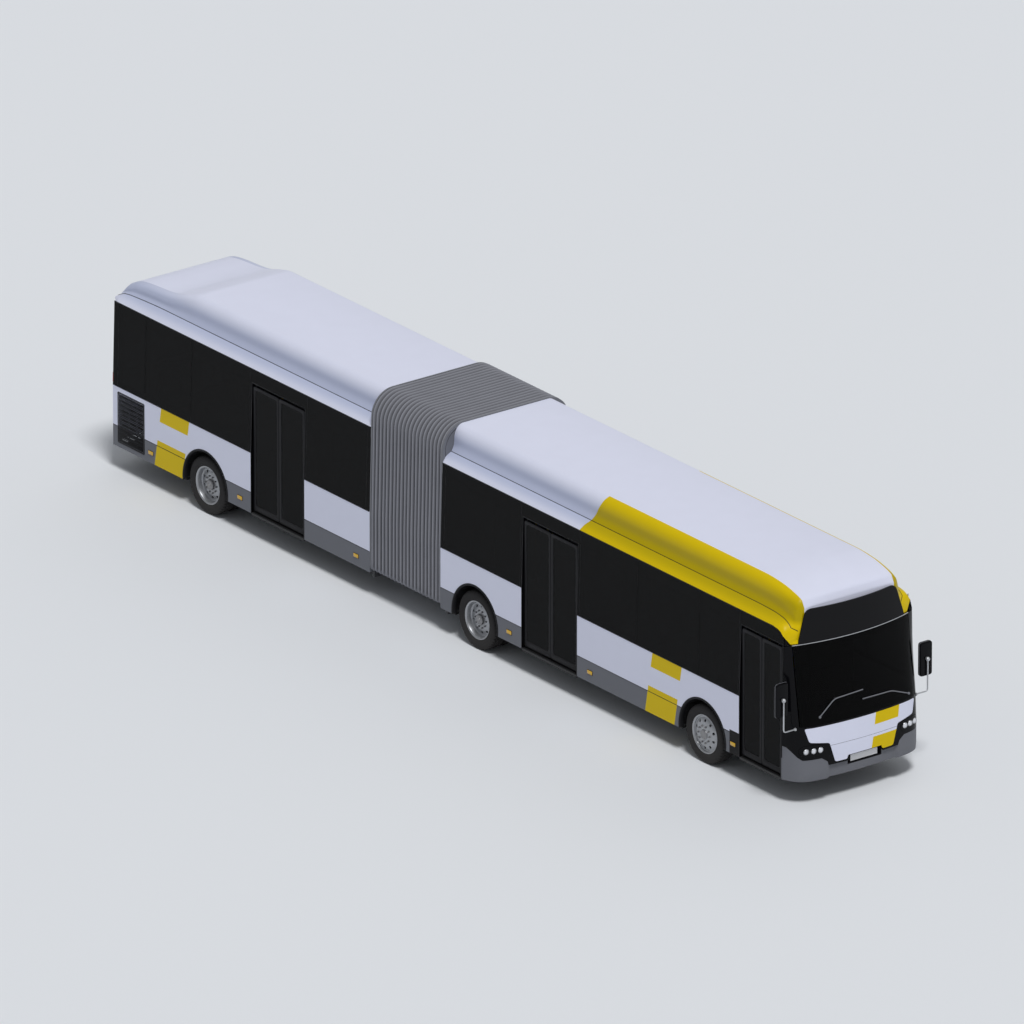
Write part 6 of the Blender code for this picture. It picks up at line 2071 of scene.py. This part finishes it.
@dataclass
class Saloon:
    """The inside of one section: seats, poles, rails and hanging straps."""

    section: Section
    seats: tuple[Point, ...]
    poles: tuple[Pair, ...]
    cross_bars: tuple[float, ...]
    pole_r: float = 0.017
    rail_z: float = 2.0

    def build(self) -> None:
        """Builds the seats and the poles, which stand for the CAD node."""
        self.build_seats()
        self.build_poles()

    def build_seats(self) -> None:
        """The double seats: shells, feet, padded cushions and backs, and the grab handles."""
        name = self.section.name.lower()
        places = [
            Matrix.Translation((x, y + side * 0.205, z)) for x, y, z in self.seats for side in (-1, 1)
        ]
        back_line = [(-0.02, 0.40), (0.02, 0.38), (0.44, 0.395), (0.44, 0.42), (0.06, 0.42), (-0.035, 1.02),
                     (-0.09, 1.02)]
        shell = prism("shell", [(x, z) for x, z in back_line], "Y", -0.195, 0.195)
        rounded(shell, 0.012, 2)
        leg = rounded(block("leg", (0.04, -0.10, 0.0003), (0.24, 0.10, 0.39)), 0.015, 2)
        handle = tube("handle", bend([(-0.085, -0.10, 0.98), (-0.10, -0.10, 1.06), (-0.10, 0.10, 1.06),
                                      (-0.085, 0.10, 0.98)], 0.04), 0.012, 8)
        shells = repeated(joined("shell", [shell, leg, handle]), places, f"{name}_seat_shells")
        cushion = pillow("cushion", (0.36, 0.36, 0.045), 0.012, (-0.35, 0.35))
        cushion.data.transform(Matrix.Translation((0.25, 0.0, 0.418)))
        back = pillow("back", (0.50, 0.35, 0.04), 0.012, (-0.35, 0.35))
        tilt = Matrix.Translation((0.022, 0.0, 0.73)) @ Matrix.Rotation(radians(-80.5), 4, "Y")
        back.data.transform(tilt @ Matrix.Rotation(pi, 4, "Z"))
        pads = repeated(joined("pads", [cushion, back]), places, f"{name}_seat_pads")
        dress(shells, Paints.seat_shell, self.section.value, (f"{name}_seats_and_rails",))
        dress(pads, Paints.seat_cloth, self.section.value)

    def build_poles(self) -> None:
        """The yellow poles and rails with their flanges, and the straps."""
        name = self.section.name.lower()
        parts = []
        for x, y in self.poles:
            foot = BODY.deck_z if x < -7.0 else BODY.floor_z
            parts.append(tube("pole", [(x, y, foot), (x, y, BODY.ceiling_z)], self.pole_r, 14))
            for z, height in ((foot, 0.012), (BODY.ceiling_z - 0.012, 0.012)):
                parts.append(rounded(drum("flange", (x, y, z + height / 2), "Z", 0.04, height, 20), 0.004))
        for side in (-1, 1):
            line = [x for x, y in self.poles if y * side > 0]
            path = [(x, side * 0.40, self.rail_z) for x in (min(line), max(line))]
            parts.append(tube("rail", path, self.pole_r * 0.95, 14))
        for x in self.cross_bars:
            path = [(x, -0.40, self.rail_z), (x, 0.40, self.rail_z)]
            parts.append(tube("bar", path, self.pole_r * 0.9, 14))
        dress(joined(f"{name}_grab_poles", parts), Paints.pole, self.section.value)
        straps = []
        for side in (-1, 1):
            line = [x for x, y in self.poles if y * side > 0]
            for x in spread(min(line) + 0.5, max(line) - 0.5, 0.9):
                y = side * 0.40
                path = [(x, y, self.rail_z + 0.015), (x, y, self.rail_z - 0.155)]
                straps.append(tube("strap", path, 0.010, 6))
                path = [(x, a, b) for a, b in arc((y, self.rail_z - 0.205), 0.05, 90, 450, 20)]
                straps.append(tube("loop", path, 0.007, 6))
        dress(joined(f"{name}_hand_loops", straps), Paints.cab, self.section.value)


class Underbody:
    """What is under the floor and inside the walls and keeps its CAD shape."""

    nodes = {
        "front_axle": Paints.chassis,
        "middle_axle": Paints.chassis,
        "rear_axle": Paints.chassis,
        "knuckle_left": Paints.chassis,
        "knuckle_right": Paints.chassis,
        "front_joint_frame": Paints.cab,
        "rear_joint_frame": Paints.cab,
        "front_floor": Paints.floor,
        "rear_floor": Paints.floor,
    }

    def build(self) -> None:
        """Gives each node its finish and rounds the driver's place."""
        for node, finish in self.nodes.items():
            finish_node(node, finish)
        cab = rounded(cad_copy("driver_cab", "driver_place"), 0.012, 2)
        dress(cab, Paints.cab, Section.FRONT.value, ("driver_cab",))


def side_walls() -> list[SideWall]:
    """The four dressed walls."""
    front_doors = (DOORWAYS["front_door"], DOORWAYS["middle_door"])
    rear_doors = (DOORWAYS["rear_door"],)
    front = (BODY.front_rear_x + 0.002, BODY.edge_x - 0.002)
    rear = (BODY.rear_edge_x + 0.002, BODY.rear_front_x - 0.002)
    front_axles = (AXLES["middle"], AXLES["front"])
    rear_axles = (AXLES["rear"],)
    right_front = ((-0.02, 1.83), (3.45, 4.80), (4.90, 6.37), (6.47, 7.38))
    left_front = ((-0.02, 1.83), (1.93, 3.35), (3.45, 4.80), (4.90, 6.37), (6.47, 7.38), (7.48, 8.40))
    right_rear = ((-8.60, -7.98), (-7.88, -6.76), (-6.66, -5.22), (-3.62, -2.15))
    left_rear = ((-8.60, -7.98), (-7.88, -6.76), (-6.66, -5.22), (-5.12, -3.72), (-3.62, -2.15))
    markers_front = (1.61, 3.68, 7.31)
    markers_rear = (-7.77, -5.41, -2.36)
    return [
        SideWall(Section.FRONT, Hand.RIGHT, *front, front_axles, front_doors, right_front, markers_front),
        SideWall(Section.FRONT, Hand.LEFT, *front, front_axles, (), left_front, markers_front),
        SideWall(Section.REAR, Hand.RIGHT, *rear, rear_axles, rear_doors, right_rear, markers_rear),
        SideWall(Section.REAR, Hand.LEFT, *rear, rear_axles, (), left_rear, markers_rear),
    ]


def wheels() -> list[Wheel]:
    """The six wheel stations."""
    made = []
    for hand in Hand:
        made.append(Wheel(f"front_wheel_{hand.word}", hand, AXLES["front"], WheelKind.SINGLE))
        made.append(Wheel(f"middle_wheels_{hand.word}", hand, AXLES["middle"], WheelKind.TWIN))
        made.append(Wheel(f"rear_wheels_{hand.word}", hand, AXLES["rear"], WheelKind.TWIN))
    return made


def saloons() -> list[Saloon]:
    """The inside of both sections."""
    low, deck = BODY.floor_z, BODY.deck_z
    front_seats = tuple((x, 0.78, low) for x in (2.35, 3.15, 3.95, 4.75)) + (
        (4.15, -0.78, low), (4.95, -0.78, low))
    rear_seats = tuple((x, 0.78, low) for x in (-2.75, -3.55, -4.35, -5.15)) + (
        (-2.75, -0.78, low), (-7.75, 0.70, deck), (-7.75, -0.70, deck))
    front_poles = tuple((x, 0.40) for x in (0.10, 2.33, 3.93, 4.73, 7.10)) + tuple(
        (x, -0.40) for x in (0.10, 1.45, 4.13, 4.93, 7.10))
    rear_poles = tuple((x, 0.40) for x in (-2.77, -4.37, -5.17, -7.77)) + tuple(
        (x, -0.40) for x in (-2.77, -5.45, -7.77))
    return [
        Saloon(Section.FRONT, front_seats, front_poles, (0.10, 4.73)),
        Saloon(Section.REAR, rear_seats, rear_poles, (-2.77, -7.77)),
    ]


def main() -> None:
    """Builds every piece of the bus in order."""
    logging.basicConfig(level=logging.INFO, format="%(name)s: %(message)s")
    Stage().build()
    parts = [
        RoofShell(Section.FRONT), RoofShell(Section.REAR), *side_walls(), FrontEnd(), RearEnd(),
        DoorWay("front_door", Section.FRONT, *DOORWAYS["front_door"]),
        DoorWay("middle_door", Section.FRONT, *DOORWAYS["middle_door"]),
        DoorWay("rear_door", Section.REAR, *DOORWAYS["rear_door"]),
        *wheels(), Bellows(), *saloons(), Underbody(),
    ]
    for part in parts:
        LOG.info("building %s", type(part).__name__)
        part.build()
    deselect_all()


if __name__ == "__main__":
    main()
